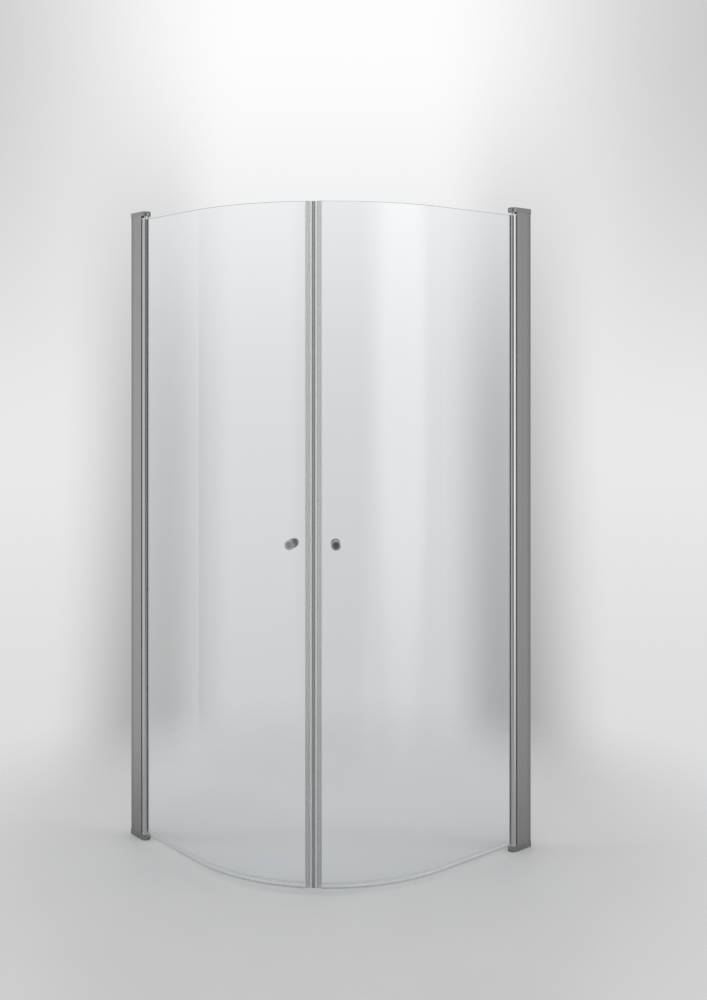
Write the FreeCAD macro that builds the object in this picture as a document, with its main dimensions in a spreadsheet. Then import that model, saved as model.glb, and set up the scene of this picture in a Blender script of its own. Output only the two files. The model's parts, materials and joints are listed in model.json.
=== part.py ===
import FreeCAD
import Part
import Sketcher
import math
import os
from types import SimpleNamespace

# Quadrant shower enclosure: two bowed glass doors hinged to two wall profiles in
# a room's corner. Millimetres, +Z up. The origin is on the floor, under the
# middle of the square that the enclosure fills. The room's walls would be the
# planes x = -room_side / 2 and y = +room_side / 2, and the doors bow towards +X
# and -Y.
#
# The left side is drawn in plan with u, the distance from its wall, and v, the
# distance inwards from the outer face of its wall profile. Pieces at the two
# ends of a profile are drawn once, with w, the height above the profile's end,
# and set on both ends. The right side mirrors the left one across the vertical
# plane through the room's corner, where the doors meet.

DRIVING_SIZES = [
    # overall
    ("room_side", 900, "room corner to the outer face of each wall profile"),
    ("overall_height", 1990, "floor to the top of the top caps"),
    ("profile_depth", 30, "outer to inner face of a wall profile"),
    ("corner_radius", 512, "outer face of the bowed glass"),
    ("glass_thickness", 6, "toughened glass"),
    # wall channel
    ("channel_reach", 40, "length of the flanges, from the wall"),
    ("channel_wall", 1.6, "thickness of the flanges"),
    ("channel_web", 2, "thickness of the web on the wall"),
    ("slide_gap", 0.2, "play between wall channel and cover profile"),
    ("vee_place", 5.5, "wall to the middle of the vee line in a flange"),
    ("vee_depth", 0.7, "depth of that line, and half its width"),
    ("wall_hole_radius", 2.75, "screw holes in the web"),
    ("wall_hole_start", 78, "profile's lower end to the lowest screw hole"),
    ("wall_hole_stop", 80, "highest screw hole to the profile's upper end"),
    # cover profile
    ("cover_start", 17.5, "wall to the cover profile's edge"),
    ("cover_wall", 1.6, "thickness of its two side walls"),
    ("lip_setback", 6, "hinge axis back to the lips beside the column"),
    ("partition_place", 42, "wall to the cross wall"),
    ("partition_wall", 2, "thickness of the cross wall"),
    ("socket_gap", 1.3, "play between hinge column and its hollow seat"),
    ("socket_wall", 1.8, "thickness of the hollow seat"),
    ("port_reach", 47.2, "wall to the screw ports"),
    ("port_inset", 5.8, "side face to the middle of a screw port"),
    ("port_radius", 4.4, "outside of a screw port"),
    ("port_bore", 1.7, "radius of the hole in a screw port"),
    # lock screws, which join cover profile and wall channel
    ("lock_place", 30, "wall to the lock screws"),
    ("lock_start", 283, "profile's lower end to the lowest lock screw"),
    ("lock_stop", 285, "highest lock screw to the profile's upper end"),
    ("lock_radius", 1.75, "shank of a lock screw"),
    ("lock_head_radius", 3.4, "pan head of a lock screw"),
    ("lock_head_height", 2, "pan head of a lock screw"),
    ("lock_length", 8, "shank of a lock screw"),
    ("screw_play", 0.05, "play round a screw's shank"),
    # end caps
    ("top_cap_height", 15, "top cap"),
    ("bottom_cap_height", 17, "bottom cap, down to the floor"),
    ("cap_wall", 2.5, "walls round the hollow in a cap"),
    ("cap_roof", 3, "thickness over that hollow"),
    ("cap_edge", 2.5, "rounding of a cap's outer rim"),
    ("rib_length", 33, "locating ribs that reach into the profile"),
    ("rib_thickness", 2, "locating ribs"),
    ("rib_depth", 8, "how far they reach in"),
    ("rib_play", 0.3, "play beside the ribs"),
    ("cap_screw_radius", 1.65, "shank of a cap screw"),
    ("cap_screw_head", 3.1, "radius of its countersunk head"),
    ("cap_screw_bite", 12, "how far it runs into its port"),
    ("nose_screw_radius", 3, "set screw in a cap's nose"),
    ("nose_screw_rise", 6.5, "profile's end to the set screw"),
    ("nose_screw_sink", 1.4, "how far it lies below the nose"),
    ("socket_key_radius", 1.5, "key socket in the set screw"),
    ("socket_key_depth", 2.5, "key socket in the set screw"),
    # hinge
    ("hinge_reach", 68, "wall to the hinge axis"),
    ("column_inset", 2.5, "hinge column inside the profile's faces"),
    ("column_wall", 1.8, "outer wall of the column"),
    ("column_bore", 5.5, "radius of the bore along its axis"),
    ("slot_floor", 6.5, "hinge axis to the floor of the glass slot"),
    ("chamber_inner", 7.3, "inner radius of the column's hollow chambers"),
    ("chamber_half_angle", 30, "half of a chamber, in degrees"),
    ("pin_radius", 4, "hinge pins"),
    ("pin_play", 0.05, "running play of a pin in its bush"),
    ("pin_in_cap", 11, "length of a pin inside its cap"),
    ("pin_in_bush", 30, "length of a pin inside its bush"),
    ("pin_bevel", 0.8, "bevel on a pin's end"),
    ("collar_radius", 7, "collar of the top pin"),
    ("collar_height", 5, "collar of the top pin"),
    ("lift_room", 2, "room over the top bush, to lift the door off"),
    ("washer_radius", 11, "thrust washer under the column"),
    ("washer_height", 1, "thrust washer under the column"),
    ("running_gap", 0.1, "between thrust washer and bottom bush"),
    ("bush_length", 40, "bush inside the column"),
    ("top_bush_flange", 3, "flange of the top bush, over the column"),
    ("bottom_bush_flange", 1.9, "flange of the bottom bush, under the column"),
    # glass, seals
    ("glass_rise", 7.5, "lower end of the column to the glass"),
    ("slot_relief", 0.5, "slot floor to the glass"),
    ("gasket_thickness", 1.2, "glazing gasket beside the glass"),
    ("gasket_bead", 1.8, "rounded bead of that gasket"),
    ("gasket_bead_start", 11.9, "hinge axis to the bead"),
    ("meeting_gap", 0.8, "between the two magnetic seals"),
    ("nose_tip_radius", 1.2, "rounded tip of a magnetic seal's nose"),
    ("nose_half", 2.6, "half width of the nose at its root"),
    ("nose_end", 5, "meeting plane to the end of the nose"),
    ("nose_skin", 0.5, "skin round the magnet"),
    ("magnet_play", 0.05, "play round the magnet"),
    ("neck_half", 3.2, "half width of the hollow neck"),
    ("neck_end", 9, "meeting plane to the end of the neck"),
    ("neck_skin", 0.8, "walls of the hollow neck"),
    ("seal_floor", 9.8, "meeting plane to the floor of the seal's channel"),
    ("seal_end", 23.5, "meeting plane to the end of the seal's legs"),
    ("seal_leg", 1.1, "thickness of the legs"),
    ("seal_play", 0.1, "leg to glass"),
    ("edge_play", 0.2, "channel floor to the glass edge"),
    ("leg_height", 9.5, "glass edge to the top of the bottom seal's legs"),
    ("fin_half", 0.6, "half thickness of the bottom seal's fin"),
    ("lip_spread", 2.2, "how far the drip lip leans outwards"),
    ("lip_thickness", 1.1, "drip lip"),
    ("seal_start_gap", 2.6, "hinge column to the bottom seal"),
    ("seal_end_gap", 0.5, "bottom seal to magnetic seal"),
    # knobs
    ("knob_height", 993, "floor to the knobs"),
    ("knob_place", 63, "meeting plane to the knobs, along the glass"),
    ("knob_radius", 13.6, "a knob"),
    ("knob_length", 29, "glass to the front of a knob"),
    ("knob_foot_radius", 12.2, "foot of a knob"),
    ("knob_foot", 2, "thickness of the foot"),
    ("knob_groove", 0.9, "depth and half width of the groove round a knob"),
    ("knob_groove_place", 9.5, "foot to the middle of the groove"),
    ("knob_edge", 2, "rounding of the knob's front edge"),
    ("dish_radius", 9.5, "dish in the knob's front"),
    ("dish_depth", 1, "dish in the knob's front"),
    ("stud_radius", 3, "threaded stud through the glass"),
    ("stud_bite", 14, "length of the stud in each knob"),
    ("stud_bevel", 0.6, "bevel on the stud's ends"),
    ("glass_hole_radius", 6, "hole for the stud"),
    ("grommet_radius", 11.5, "flange of a grommet"),
    ("grommet_flange", 1, "thickness of that flange"),
    ("grommet_play", 0.1, "play round a grommet"),
    ("grommet_bed", 0.3, "how far the flange is moulded round the bow"),
]

doc = FreeCAD.newDocument("quadrant_enclosure")
sheet = doc.addObject("Spreadsheet::Sheet", "Sizes")


class Size:
    """A length or angle: its number, and the sheet formula that it comes from."""

    def __init__(self, value, formula):
        self.value = float(value)
        self.formula = formula

    def __add__(self, other):
        other = as_size(other)
        return Size(self.value + other.value, f"({self.formula} + {other.formula})")

    def __sub__(self, other):
        other = as_size(other)
        return Size(self.value - other.value, f"({self.formula} - {other.formula})")

    def __mul__(self, other):
        other = as_size(other)
        return Size(self.value * other.value, f"({self.formula} * {other.formula})")

    def __truediv__(self, other):
        other = as_size(other)
        return Size(self.value / other.value, f"({self.formula} / {other.formula})")

    def __rsub__(self, other):
        return as_size(other) - self

    def __neg__(self):
        return as_size(0) - self


def as_size(number):
    """A plain number as a Size; a Size stays as it is."""
    return number if isinstance(number, Size) else Size(number, repr(number))


def root(size):
    """Square root of a Size."""
    return Size(math.sqrt(size.value), f"sqrt({size.formula})")


def cosine(angle):
    """Cosine of a Size in degrees."""
    angle = as_size(angle)
    return Size(math.cos(math.radians(angle.value)), f"cos({angle.formula} * 1 deg)")


def sine(angle):
    """Sine of a Size in degrees."""
    angle = as_size(angle)
    return Size(math.sin(math.radians(angle.value)), f"sin({angle.formula} * 1 deg)")


def fill_sheet():
    """Writes the driving sizes to the sheet, and hands them back by name."""
    known = {}
    for row, (alias, value, note) in enumerate(DRIVING_SIZES, start=1):
        sheet.set(f"A{row}", alias)
        sheet.set(f"B{row}", str(value))
        sheet.set(f"C{row}", note)
        sheet.setAlias(f"B{row}", alias)
        known[alias] = Size(value, f"Sizes.{alias}")
    doc.recompute()
    return SimpleNamespace(**known)


size = fill_sheet()

# ---------------------------------------------------------------- sizes that follow

shift = -size.room_side / 2
middle_v = size.profile_depth / 2
column_radius = middle_v - size.column_inset
glass_half = size.glass_thickness / 2
profile_bottom = size.bottom_cap_height
profile_top = size.overall_height - size.top_cap_height
profile_length = profile_top - profile_bottom
# what stands between each end of the column and the profile's end
top_gap = size.collar_height + size.lift_room + size.top_bush_flange
bottom_gap = size.washer_height + size.running_gap + size.bottom_bush_flange
column_top = profile_top - top_gap
column_bottom = profile_bottom + bottom_gap
column_length = column_top - column_bottom
glass_bottom = column_bottom + size.glass_rise
glass_height = column_top - glass_bottom
wall_hole_span = profile_length - size.wall_hole_start - size.wall_hole_stop
lock_span = profile_length - size.lock_start - size.lock_stop
# the bowed glass: its middle surface passes through the hinge axis
bow_radius = size.corner_radius - glass_half
bow_u = size.room_side - middle_v - bow_radius
bow_v = middle_v + bow_radius
inner_face = size.profile_depth - size.cover_wall
flange_outer = size.cover_wall + size.slide_gap
flange_inner = size.profile_depth - flange_outer


# ---------------------------------------------------------------- drawing helpers


def origin_feature(body, role):
    """The origin plane or axis of a body, by its role."""
    return next(item for item in body.Origin.OriginFeatures if item.Role == role)


def new_body(name):
    """An empty body whose label is the name of its node."""
    body = doc.addObject("PartDesign::Body", name)
    body.Label = name
    return body


def new_sketch(body, plane="XY_Plane", lift=None):
    """A sketch on one of the body's own planes, lifted along the plane's normal."""
    sketch = body.newObject("Sketcher::SketchObject", body.Name + "_sketch")
    sketch.AttachmentSupport = [(origin_feature(body, plane), "")]
    sketch.MapMode = "FlatFace"
    if lift is not None:
        sketch.AttachmentOffset.Base.z = lift.value
        sketch.setExpression("AttachmentOffset.Base.z", lift.formula)
    return sketch


def fix_point(sketch, segment, point, x, y):
    """Holds a point of the sketch at two sheet formulas."""
    for kind, place in (("DistanceX", x), ("DistanceY", y)):
        rule = Sketcher.Constraint(kind, -1, 1, segment, point, place.value)
        number = sketch.addConstraint(rule)
        sketch.setExpression(f"Constraints[{number}]", place.formula)


def fix_radius(sketch, segment, radius):
    """Holds a circle's or arc's radius at a sheet formula."""
    number = sketch.addConstraint(Sketcher.Constraint("Radius", segment, radius.value))
    sketch.setExpression(f"Constraints[{number}]", radius.formula)


def arc_between(begin, finish, radius, turn):
    """The arc of under a half turn between two points, and which ends they are."""
    chord = finish - begin
    side = FreeCAD.Vector(-chord.y, chord.x, 0) / chord.Length
    if turn == "cw":
        side = side * -1
    rise = math.sqrt(radius**2 - (chord.Length / 2) ** 2)
    centre = (begin + finish) * 0.5 + side * rise
    low = math.atan2(begin.y - centre.y, begin.x - centre.x)
    high = math.atan2(finish.y - centre.y, finish.x - centre.x)
    ends = (1, 2)
    if turn == "cw":
        low, high = high, low
        ends = (2, 1)
    if high < low:
        high += 2 * math.pi
    circle = Part.Circle(centre, FreeCAD.Vector(0, 0, 1), radius)
    return Part.ArcOfCircle(circle, low, high), ends


def outline(sketch, *steps):
    """Adds a closed outline. A step (x, y) is a line to that corner, and a step
    (x, y, radius, turn) an arc to it, with turn "cw" or "ccw". The outline
    starts at the last step's corner."""
    corners = [(as_size(step[0]), as_size(step[1])) for step in steps]
    points = [FreeCAD.Vector(x.value, y.value, 0) for x, y in corners]
    first = sketch.GeometryCount
    ends = []
    for number, step in enumerate(steps):
        begin = points[number - 1]
        finish = points[number]
        if len(step) == 2:
            sketch.addGeometry(Part.LineSegment(begin, finish), False)
            ends.append((1, 2))
        else:
            radius = as_size(step[2])
            arc, arc_ends = arc_between(begin, finish, radius.value, step[3])
            segment = sketch.addGeometry(arc, False)
            fix_radius(sketch, segment, radius)
            ends.append(arc_ends)
    for number, (x, y) in enumerate(corners):
        follower = (number + 1) % len(steps)
        here = (first + number, ends[number][1])
        there = (first + follower, ends[follower][0])
        sketch.addConstraint(Sketcher.Constraint("Coincident", *here, *there))
        fix_point(sketch, *here, x, y)


def rectangle(sketch, x_low, x_high, y_low, y_high):
    """Adds a closed rectangle."""
    outline(sketch, (x_high, y_low), (x_high, y_high), (x_low, y_high), (x_low, y_low))


def circle(sketch, x, y, radius):
    """Adds a full circle."""
    centre = FreeCAD.Vector(as_size(x).value, as_size(y).value, 0)
    shape = Part.Circle(centre, FreeCAD.Vector(0, 0, 1), radius.value)
    segment = sketch.addGeometry(shape, False)
    fix_point(sketch, segment, 3, as_size(x), as_size(y))
    fix_radius(sketch, segment, radius)


def extrude(body, kind, sketch, length, against=False):
    """A pad or pocket of a sketch; against turns it round."""
    feature = body.newObject(f"PartDesign::{kind}", f"{body.Name}_{kind}")
    feature.Profile = sketch
    feature.Length = length.value
    feature.setExpression("Length", length.formula)
    feature.Reversed = against
    body.Tip = feature
    doc.recompute()
    return feature


def pad(body, sketch, length, against=False):
    """Adds the sketch as a prism along its plane's normal."""
    return extrude(body, "Pad", sketch, length, against)


def pocket(body, sketch, length, against=True):
    """Cuts the sketch as a prism; with against it runs along the plane's normal."""
    return extrude(body, "Pocket", sketch, length, against)


def revolve(body, sketch, axis, kind="Revolution"):
    """Turns the sketch through a full circle round one of its own axes."""
    feature = body.newObject(f"PartDesign::{kind}", f"{body.Name}_{kind}")
    feature.Profile = sketch
    feature.ReferenceAxis = (sketch, [axis])
    feature.Angle = 360
    body.Tip = feature
    doc.recompute()
    return feature


def row(body, feature, axis, span, count):
    """Repeats a feature along one of the body's own axes."""
    pattern = body.newObject("PartDesign::LinearPattern", body.Name + "_row")
    pattern.Originals = [feature]
    pattern.Direction = (origin_feature(body, axis), [""])
    pattern.Length = span.value
    pattern.setExpression("Length", span.formula)
    pattern.Occurrences = count
    body.Tip = pattern
    doc.recompute()


def place(item, x, y, z, axis=(0, 0, 1), angle=0):
    """Sets an item on the left side, at the plan place x, y and the height z."""
    angle = as_size(angle)
    spots = [as_size(x) + shift, as_size(y) + shift, as_size(z)]
    turn = FreeCAD.Rotation(FreeCAD.Vector(*axis), angle.value)
    item.Placement = FreeCAD.Placement(
        FreeCAD.Vector(*[spot.value for spot in spots]), turn
    )
    for letter, spot in zip("xyz", spots):
        item.setExpression(f".Placement.Base.{letter}", spot.formula)
    if angle.value:
        item.setExpression(".Placement.Rotation.Angle", f"{angle.formula} * 1 deg")


def turned(name, steps, axis):
    """A body turned round X or Z from an outline in the XZ plane."""
    body = new_body(name)
    sketch = new_sketch(body, "XZ_Plane")
    outline(sketch, *steps)
    revolve(body, sketch, {"X": "H_Axis", "Z": "V_Axis"}[axis])
    return body


# ---------------------------------------------------------------- wall profile


def wall_channel():
    """The U profile that is screwed to the wall, with a vee line in each flange."""
    body = new_body("left_wall_channel")
    sketch = new_sketch(body)
    vee_start = size.vee_place - size.vee_depth
    vee_stop = size.vee_place + size.vee_depth
    inside_low = flange_outer + size.channel_wall
    inside_high = flange_inner - size.channel_wall
    outline(
        sketch,
        (vee_start, flange_outer),
        (size.vee_place, flange_outer + size.vee_depth),
        (vee_stop, flange_outer),
        (size.channel_reach, flange_outer),
        (size.channel_reach, inside_low),
        (size.channel_web, inside_low),
        (size.channel_web, inside_high),
        (size.channel_reach, inside_high),
        (size.channel_reach, flange_inner),
        (vee_stop, flange_inner),
        (size.vee_place, flange_inner - size.vee_depth),
        (vee_start, flange_inner),
        (0, flange_inner),
        (0, flange_outer),
    )
    pad(body, sketch, profile_length)
    holes = new_sketch(body, "YZ_Plane")
    circle(holes, middle_v, size.wall_hole_start, size.wall_hole_radius)
    drilled = pocket(body, holes, size.channel_web)
    row(body, drilled, "Z_Axis", wall_hole_span, 4)
    drill_lock_holes(body)
    place(body, 0, 0, profile_bottom)
    return body


def drill_lock_holes(body):
    """Holes for the lock screws through the wall on the room's inner side."""
    sketch = new_sketch(body, "XZ_Plane", -middle_v)
    circle(sketch, size.lock_place, size.lock_start, size.lock_radius + size.screw_play)
    drilled = pocket(body, sketch, middle_v, against=False)
    row(body, drilled, "Z_Axis", lock_span, 3)


def cover_profile():
    """The profile that slides over the wall channel, with the column's seat."""
    body = new_body("left_cover_profile")
    sketch = new_sketch(body)
    seat = column_radius + size.socket_gap
    back = seat + size.socket_wall
    lip_reach = size.hinge_reach - size.lip_setback
    lip_low = middle_v - root(seat * seat - size.lip_setback * size.lip_setback)
    lip_high = size.profile_depth - lip_low
    back_half = middle_v - size.cover_wall
    back_run = size.hinge_reach - root(back * back - back_half * back_half)
    partition_back = size.partition_place + size.partition_wall
    outline(
        sketch,
        (size.cover_start, 0),
        (lip_reach, 0),
        (lip_reach, lip_low),
        (lip_reach, lip_high, seat, "cw"),
        (lip_reach, size.profile_depth),
        (size.cover_start, size.profile_depth),
        (size.cover_start, inner_face),
        (size.partition_place, inner_face),
        (size.partition_place, size.cover_wall),
        (size.cover_start, size.cover_wall),
    )
    outline(
        sketch,
        (partition_back, size.cover_wall),
        (back_run, size.cover_wall),
        (back_run, inner_face, back, "cw"),
        (partition_back, inner_face),
    )
    pad(body, sketch, profile_length)
    ports = new_sketch(body)
    bores = new_sketch(body)
    for port_v in (size.port_inset, size.profile_depth - size.port_inset):
        circle(ports, size.port_reach, port_v, size.port_radius)
        circle(bores, size.port_reach, port_v, size.port_bore)
    pad(body, ports, profile_length)
    pocket(body, bores, profile_length)
    drill_lock_holes(body)
    place(body, 0, 0, profile_bottom)
    return body


def lock_screws():
    """Three pan head screws from the inner face into the wall channel."""
    head_edge = size.lock_head_height / 2
    tip = size.lock_length
    body = turned(
        "left_lock_screws",
        [
            (-size.lock_head_height, size.lock_head_radius - head_edge),
            (-head_edge, size.lock_head_radius, head_edge * 1.5, "cw"),
            (0, size.lock_head_radius),
            (0, size.lock_radius),
            (tip - size.lock_radius, size.lock_radius),
            (tip, 0),
            (-size.lock_head_height, 0),
        ],
        "X",
    )
    row(body, body.Tip, "Z_Axis", lock_span, 3)
    spot = profile_bottom + size.lock_start
    place(body, size.lock_place, size.profile_depth, spot, angle=-90)
    return body


# ---------------------------------------------------------------- profile ends

# The two ends: a piece drawn with w upwards stands as drawn on the top end, and
# is turned over on the bottom end.
TOP = SimpleNamespace(
    side="top",
    level=profile_top,
    height=size.top_cap_height,
    gap=top_gap,
    filler=size.collar_height,
    room=size.lift_room,
    up=True,
)
BOTTOM = SimpleNamespace(
    side="bottom",
    level=profile_bottom,
    height=size.bottom_cap_height,
    gap=bottom_gap,
    filler=size.washer_height,
    room=size.running_gap,
    up=False,
)


def place_on_end(item, end, u=0, v=0, w=0):
    """Sets an item drawn in u, v, w on the top or the bottom end."""
    v = as_size(v)
    w = as_size(w)
    if end.up:
        place(item, u, v, end.level + w)
    else:
        place(item, u, size.profile_depth - v, end.level - w, (1, 0, 0), 180)


def rim_edges(shape, level):
    """Names of the edges at a height, apart from the one along the wall."""
    names = []
    for number, edge in enumerate(shape.Edges, start=1):
        box = edge.BoundBox
        flat = abs(box.ZMin - level) < 1e-6 and abs(box.ZMax - level) < 1e-6
        if flat and box.XMax > 1e-6:
            names.append(f"Edge{number}")
    return names


def end_cap(end):
    """A cap with a rounded nose over the hinge column, hollow over the profile."""
    body = new_body(f"left_{end.side}_cap")
    sketch = new_sketch(body)
    nose = middle_v
    outline(
        sketch,
        (size.hinge_reach, 0),
        (size.hinge_reach + nose, middle_v, nose, "ccw"),
        (size.hinge_reach, size.profile_depth, nose, "ccw"),
        (0, size.profile_depth),
        (0, 0),
    )
    block = pad(body, sketch, end.height)
    rim = body.newObject("PartDesign::Fillet", body.Name + "_rim")
    rim.Base = (block, rim_edges(block.Shape, end.height.value))
    rim.Radius = size.cap_edge.value
    rim.setExpression("Radius", size.cap_edge.formula)
    body.Tip = rim
    doc.recompute()
    hollow = new_sketch(body)
    hollow_v = (size.cap_wall, size.profile_depth - size.cap_wall)
    rectangle(hollow, size.cap_wall, size.partition_place, *hollow_v)
    pocket(body, hollow, end.height - size.cap_roof)
    add_ribs(body, end)
    bore = new_sketch(body)
    circle(bore, size.hinge_reach, middle_v, size.pin_radius + size.screw_play)
    pocket(body, bore, size.pin_in_cap)
    drill_screw_holes(body, end)
    place_on_end(body, end)
    return body


def add_ribs(body, end):
    """Two locating ribs, from the cap's roof down into the wall channel."""
    sketch = new_sketch(body, lift=-size.rib_depth)
    start = size.channel_web + size.rib_play
    low = flange_outer + size.channel_wall + size.rib_play
    high = size.profile_depth - low
    rectangle(sketch, start, start + size.rib_length, low, low + size.rib_thickness)
    rectangle(sketch, start, start + size.rib_length, high - size.rib_thickness, high)
    pad(body, sketch, end.height - size.cap_roof + size.rib_depth)


def drill_screw_holes(body, end):
    """Countersunk holes over the screw ports, and the set screw's hole."""
    shank = size.cap_screw_radius + size.screw_play
    head = size.cap_screw_head
    holes = new_sketch(body)
    for port_v in (size.port_inset, size.profile_depth - size.port_inset):
        circle(holes, size.port_reach, port_v, shank)
    pocket(body, holes, end.height)
    for port_v in (size.port_inset, size.profile_depth - size.port_inset):
        sink = new_sketch(body, "XZ_Plane", -port_v)
        outline(
            sink,
            (size.port_reach + shank, end.height - head + shank),
            (size.port_reach + head, end.height),
            (size.port_reach, end.height),
            (size.port_reach, end.height - head + shank),
        )
        countersink(body, sink)
    set_hole = new_sketch(body, "YZ_Plane", size.hinge_reach)
    set_radius = size.nose_screw_radius + size.screw_play
    circle(set_hole, middle_v, size.nose_screw_rise, set_radius)
    pocket(body, set_hole, middle_v)


def countersink(body, sketch):
    """Cuts a countersink: the sketch turned round its own left edge."""
    groove = body.newObject("PartDesign::Groove", body.Name + "_sink")
    groove.Profile = sketch
    groove.ReferenceAxis = (sketch, ["Edge4"])
    groove.Angle = 360
    body.Tip = groove
    doc.recompute()


def cap_screws(end):
    """Two countersunk screws that hold a cap on the cover profile."""
    head = size.cap_screw_head
    shank = size.cap_screw_radius
    tip = -size.cap_screw_bite
    body = turned(
        f"left_{end.side}_cap_screws",
        [
            (head - size.screw_play, end.height),
            (0, end.height),
            (0, tip),
            (shank, tip + shank),
            (shank, end.height - head + shank),
        ],
        "Z",
    )
    row(body, body.Tip, "Y_Axis", size.profile_depth - size.port_inset * 2, 2)
    place_on_end(body, end, u=size.port_reach, v=size.port_inset)
    return body


def nose_screw(end):
    """The set screw that holds a hinge pin, seen as a small dot on the nose."""
    start = size.pin_radius
    stop = middle_v - size.nose_screw_sink
    body = turned(
        f"left_{end.side}_pin_screw",
        [
            (start, 0),
            (start, size.nose_screw_radius),
            (stop, size.nose_screw_radius),
            (stop, size.socket_key_radius),
            (stop - size.socket_key_depth, size.socket_key_radius),
            (stop - size.socket_key_depth, 0),
        ],
        "X",
    )
    place_on_end(body, end, u=size.hinge_reach, v=middle_v, w=size.nose_screw_rise)
    return body


# ---------------------------------------------------------------- hinge


def hinge_pin(end):
    """A pin from the cap into the column's bush; the top one has a collar."""
    radius = size.pin_radius
    bevel = size.pin_bevel
    top = size.pin_in_cap
    foot = -end.gap - size.pin_in_bush
    shaft = [(radius - bevel, foot), (radius, foot + bevel)]
    collar = [
        (radius, -end.filler),
        (size.collar_radius, -end.filler),
        (size.collar_radius, 0),
        (radius, 0),
    ]
    crown = [(radius, top - bevel), (radius - bevel, top), (0, top), (0, foot)]
    steps = shaft + (collar if end.up else []) + crown
    body = turned(f"left_{end.side}_pin", steps, "Z")
    place_on_end(body, end, u=size.hinge_reach, v=middle_v)
    return body


def thrust_washer():
    """The washer on the bottom cap that the column stands on."""
    bore = size.pin_radius + size.pin_play
    body = turned(
        "left_thrust_washer",
        [
            (size.washer_radius, 0),
            (size.washer_radius, size.washer_height),
            (bore, size.washer_height),
            (bore, 0),
        ],
        "Z",
    )
    place(body, size.hinge_reach, middle_v, profile_bottom)
    return body


def bush(end):
    """A flanged bush in the column's end, with running play round its pin."""
    bore = size.pin_radius + size.pin_play
    skirt = size.column_bore - size.screw_play
    column_end = -end.gap
    flange_top = -end.filler - end.room
    body = turned(
        f"left_{end.side}_bush",
        [
            (column_radius, column_end),
            (column_radius, flange_top),
            (bore, flange_top),
            (bore, column_end - size.bush_length),
            (skirt, column_end - size.bush_length),
            (skirt, column_end),
        ],
        "Z",
    )
    place_on_end(body, end, u=size.hinge_reach, v=middle_v)
    return body


def column():
    """The round hinge column: bore, glass slot and three hollow chambers."""
    body = new_body("left_column")
    rod = new_sketch(body)
    circle(rod, 0, 0, column_radius)
    circle(rod, 0, 0, size.column_bore)
    pad(body, rod, column_length)
    slot = new_sketch(body)
    slot_half = glass_half + size.gasket_thickness
    slot_mouth = column_radius + size.slot_relief
    rectangle(slot, size.slot_floor, slot_mouth, -slot_half, slot_half)
    pocket(body, slot, column_length)
    chamber = new_sketch(body)
    inner = size.chamber_inner
    outer = column_radius - size.column_wall
    half = size.chamber_half_angle
    across_inner = inner * sine(half)
    across_outer = outer * sine(half)
    up_inner = inner * cosine(half)
    up_outer = outer * cosine(half)
    outline(
        chamber,
        (across_outer, up_outer),
        (-across_outer, up_outer, outer, "ccw"),
        (-across_inner, up_inner),
        (across_inner, up_inner, inner, "cw"),
    )
    hollow = pocket(body, chamber, column_length)
    ring = body.newObject("PartDesign::PolarPattern", body.Name + "_ring")
    ring.Originals = [hollow]
    ring.Axis = (origin_feature(body, "Z_Axis"), [""])
    ring.Angle = 180
    ring.Occurrences = 3
    body.Tip = ring
    doc.recompute()
    place(body, size.hinge_reach, middle_v, column_bottom)
    return body


def glazing_gasket():
    """Two rubber strips that hold the glass in the column's slot."""
    body = new_body("left_glazing_gasket")
    sketch = new_sketch(body)
    start = size.slot_floor + size.slot_relief
    edge = glass_half
    shelf = glass_half + size.gasket_thickness
    bead = size.gasket_bead_start
    swell = size.gasket_bead
    outline(
        sketch,
        (bead + swell, edge),
        (bead, edge + swell, swell, "ccw"),
        (bead, shelf),
        (start, shelf),
        (start, edge),
    )
    strip = pad(body, sketch, glass_height)
    pair = body.newObject("PartDesign::Mirrored", body.Name + "_pair")
    pair.Originals = [strip]
    pair.MirrorPlane = (origin_feature(body, "XZ_Plane"), [""])
    body.Tip = pair
    doc.recompute()
    place(body, size.hinge_reach, middle_v, glass_bottom)
    return body


# ---------------------------------------------------------------- glass and seals


def on_bow(along, offset):
    """The plan point at a distance along the bow from the meeting plane, and an
    offset outwards from the middle of the glass."""
    angle = as_size(45) + as_size(along) / bow_radius * (180 / math.pi)
    reach = bow_radius + offset
    return bow_u + reach * cosine(angle), bow_v - reach * sine(angle)


def glass():
    """A bowed pane: flat beside the column, then an eighth of a circle."""
    body = new_body("left_glass_pane")
    sketch = new_sketch(body)
    start = size.hinge_reach + size.slot_floor + size.slot_relief
    edge = size.seal_floor + size.edge_play
    outline(
        sketch,
        (bow_u, middle_v - glass_half),
        (*on_bow(edge, glass_half), bow_radius + glass_half, "ccw"),
        on_bow(edge, -glass_half),
        (bow_u, middle_v + glass_half, bow_radius - glass_half, "cw"),
        (start, middle_v + glass_half),
        (start, middle_v - glass_half),
    )
    pad(body, sketch, glass_height)
    place(body, 0, 0, glass_bottom)
    drill = doc.addObject("Part::Cylinder", "left_glass_drill")
    drill.Radius = size.glass_hole_radius.value
    drill.setExpression("Radius", size.glass_hole_radius.formula)
    drill.Height = (size.glass_thickness * 4).value
    drill.setExpression("Height", (size.glass_thickness * 4).formula)
    place_drill(drill)
    return cut_from("left_glass", body, drill)


def cut_from(name, base, tool):
    """What is left of a piece where another solid is taken away."""
    cut = doc.addObject("Part::Cut", name)
    cut.Label = name
    cut.Base = base
    cut.Tool = tool
    doc.recompute()
    return cut


def knob_turn():
    """Direction in plan of the outward normal at the knobs, in degrees."""
    return -(as_size(45) + size.knob_place / bow_radius * (180 / math.pi))


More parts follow.
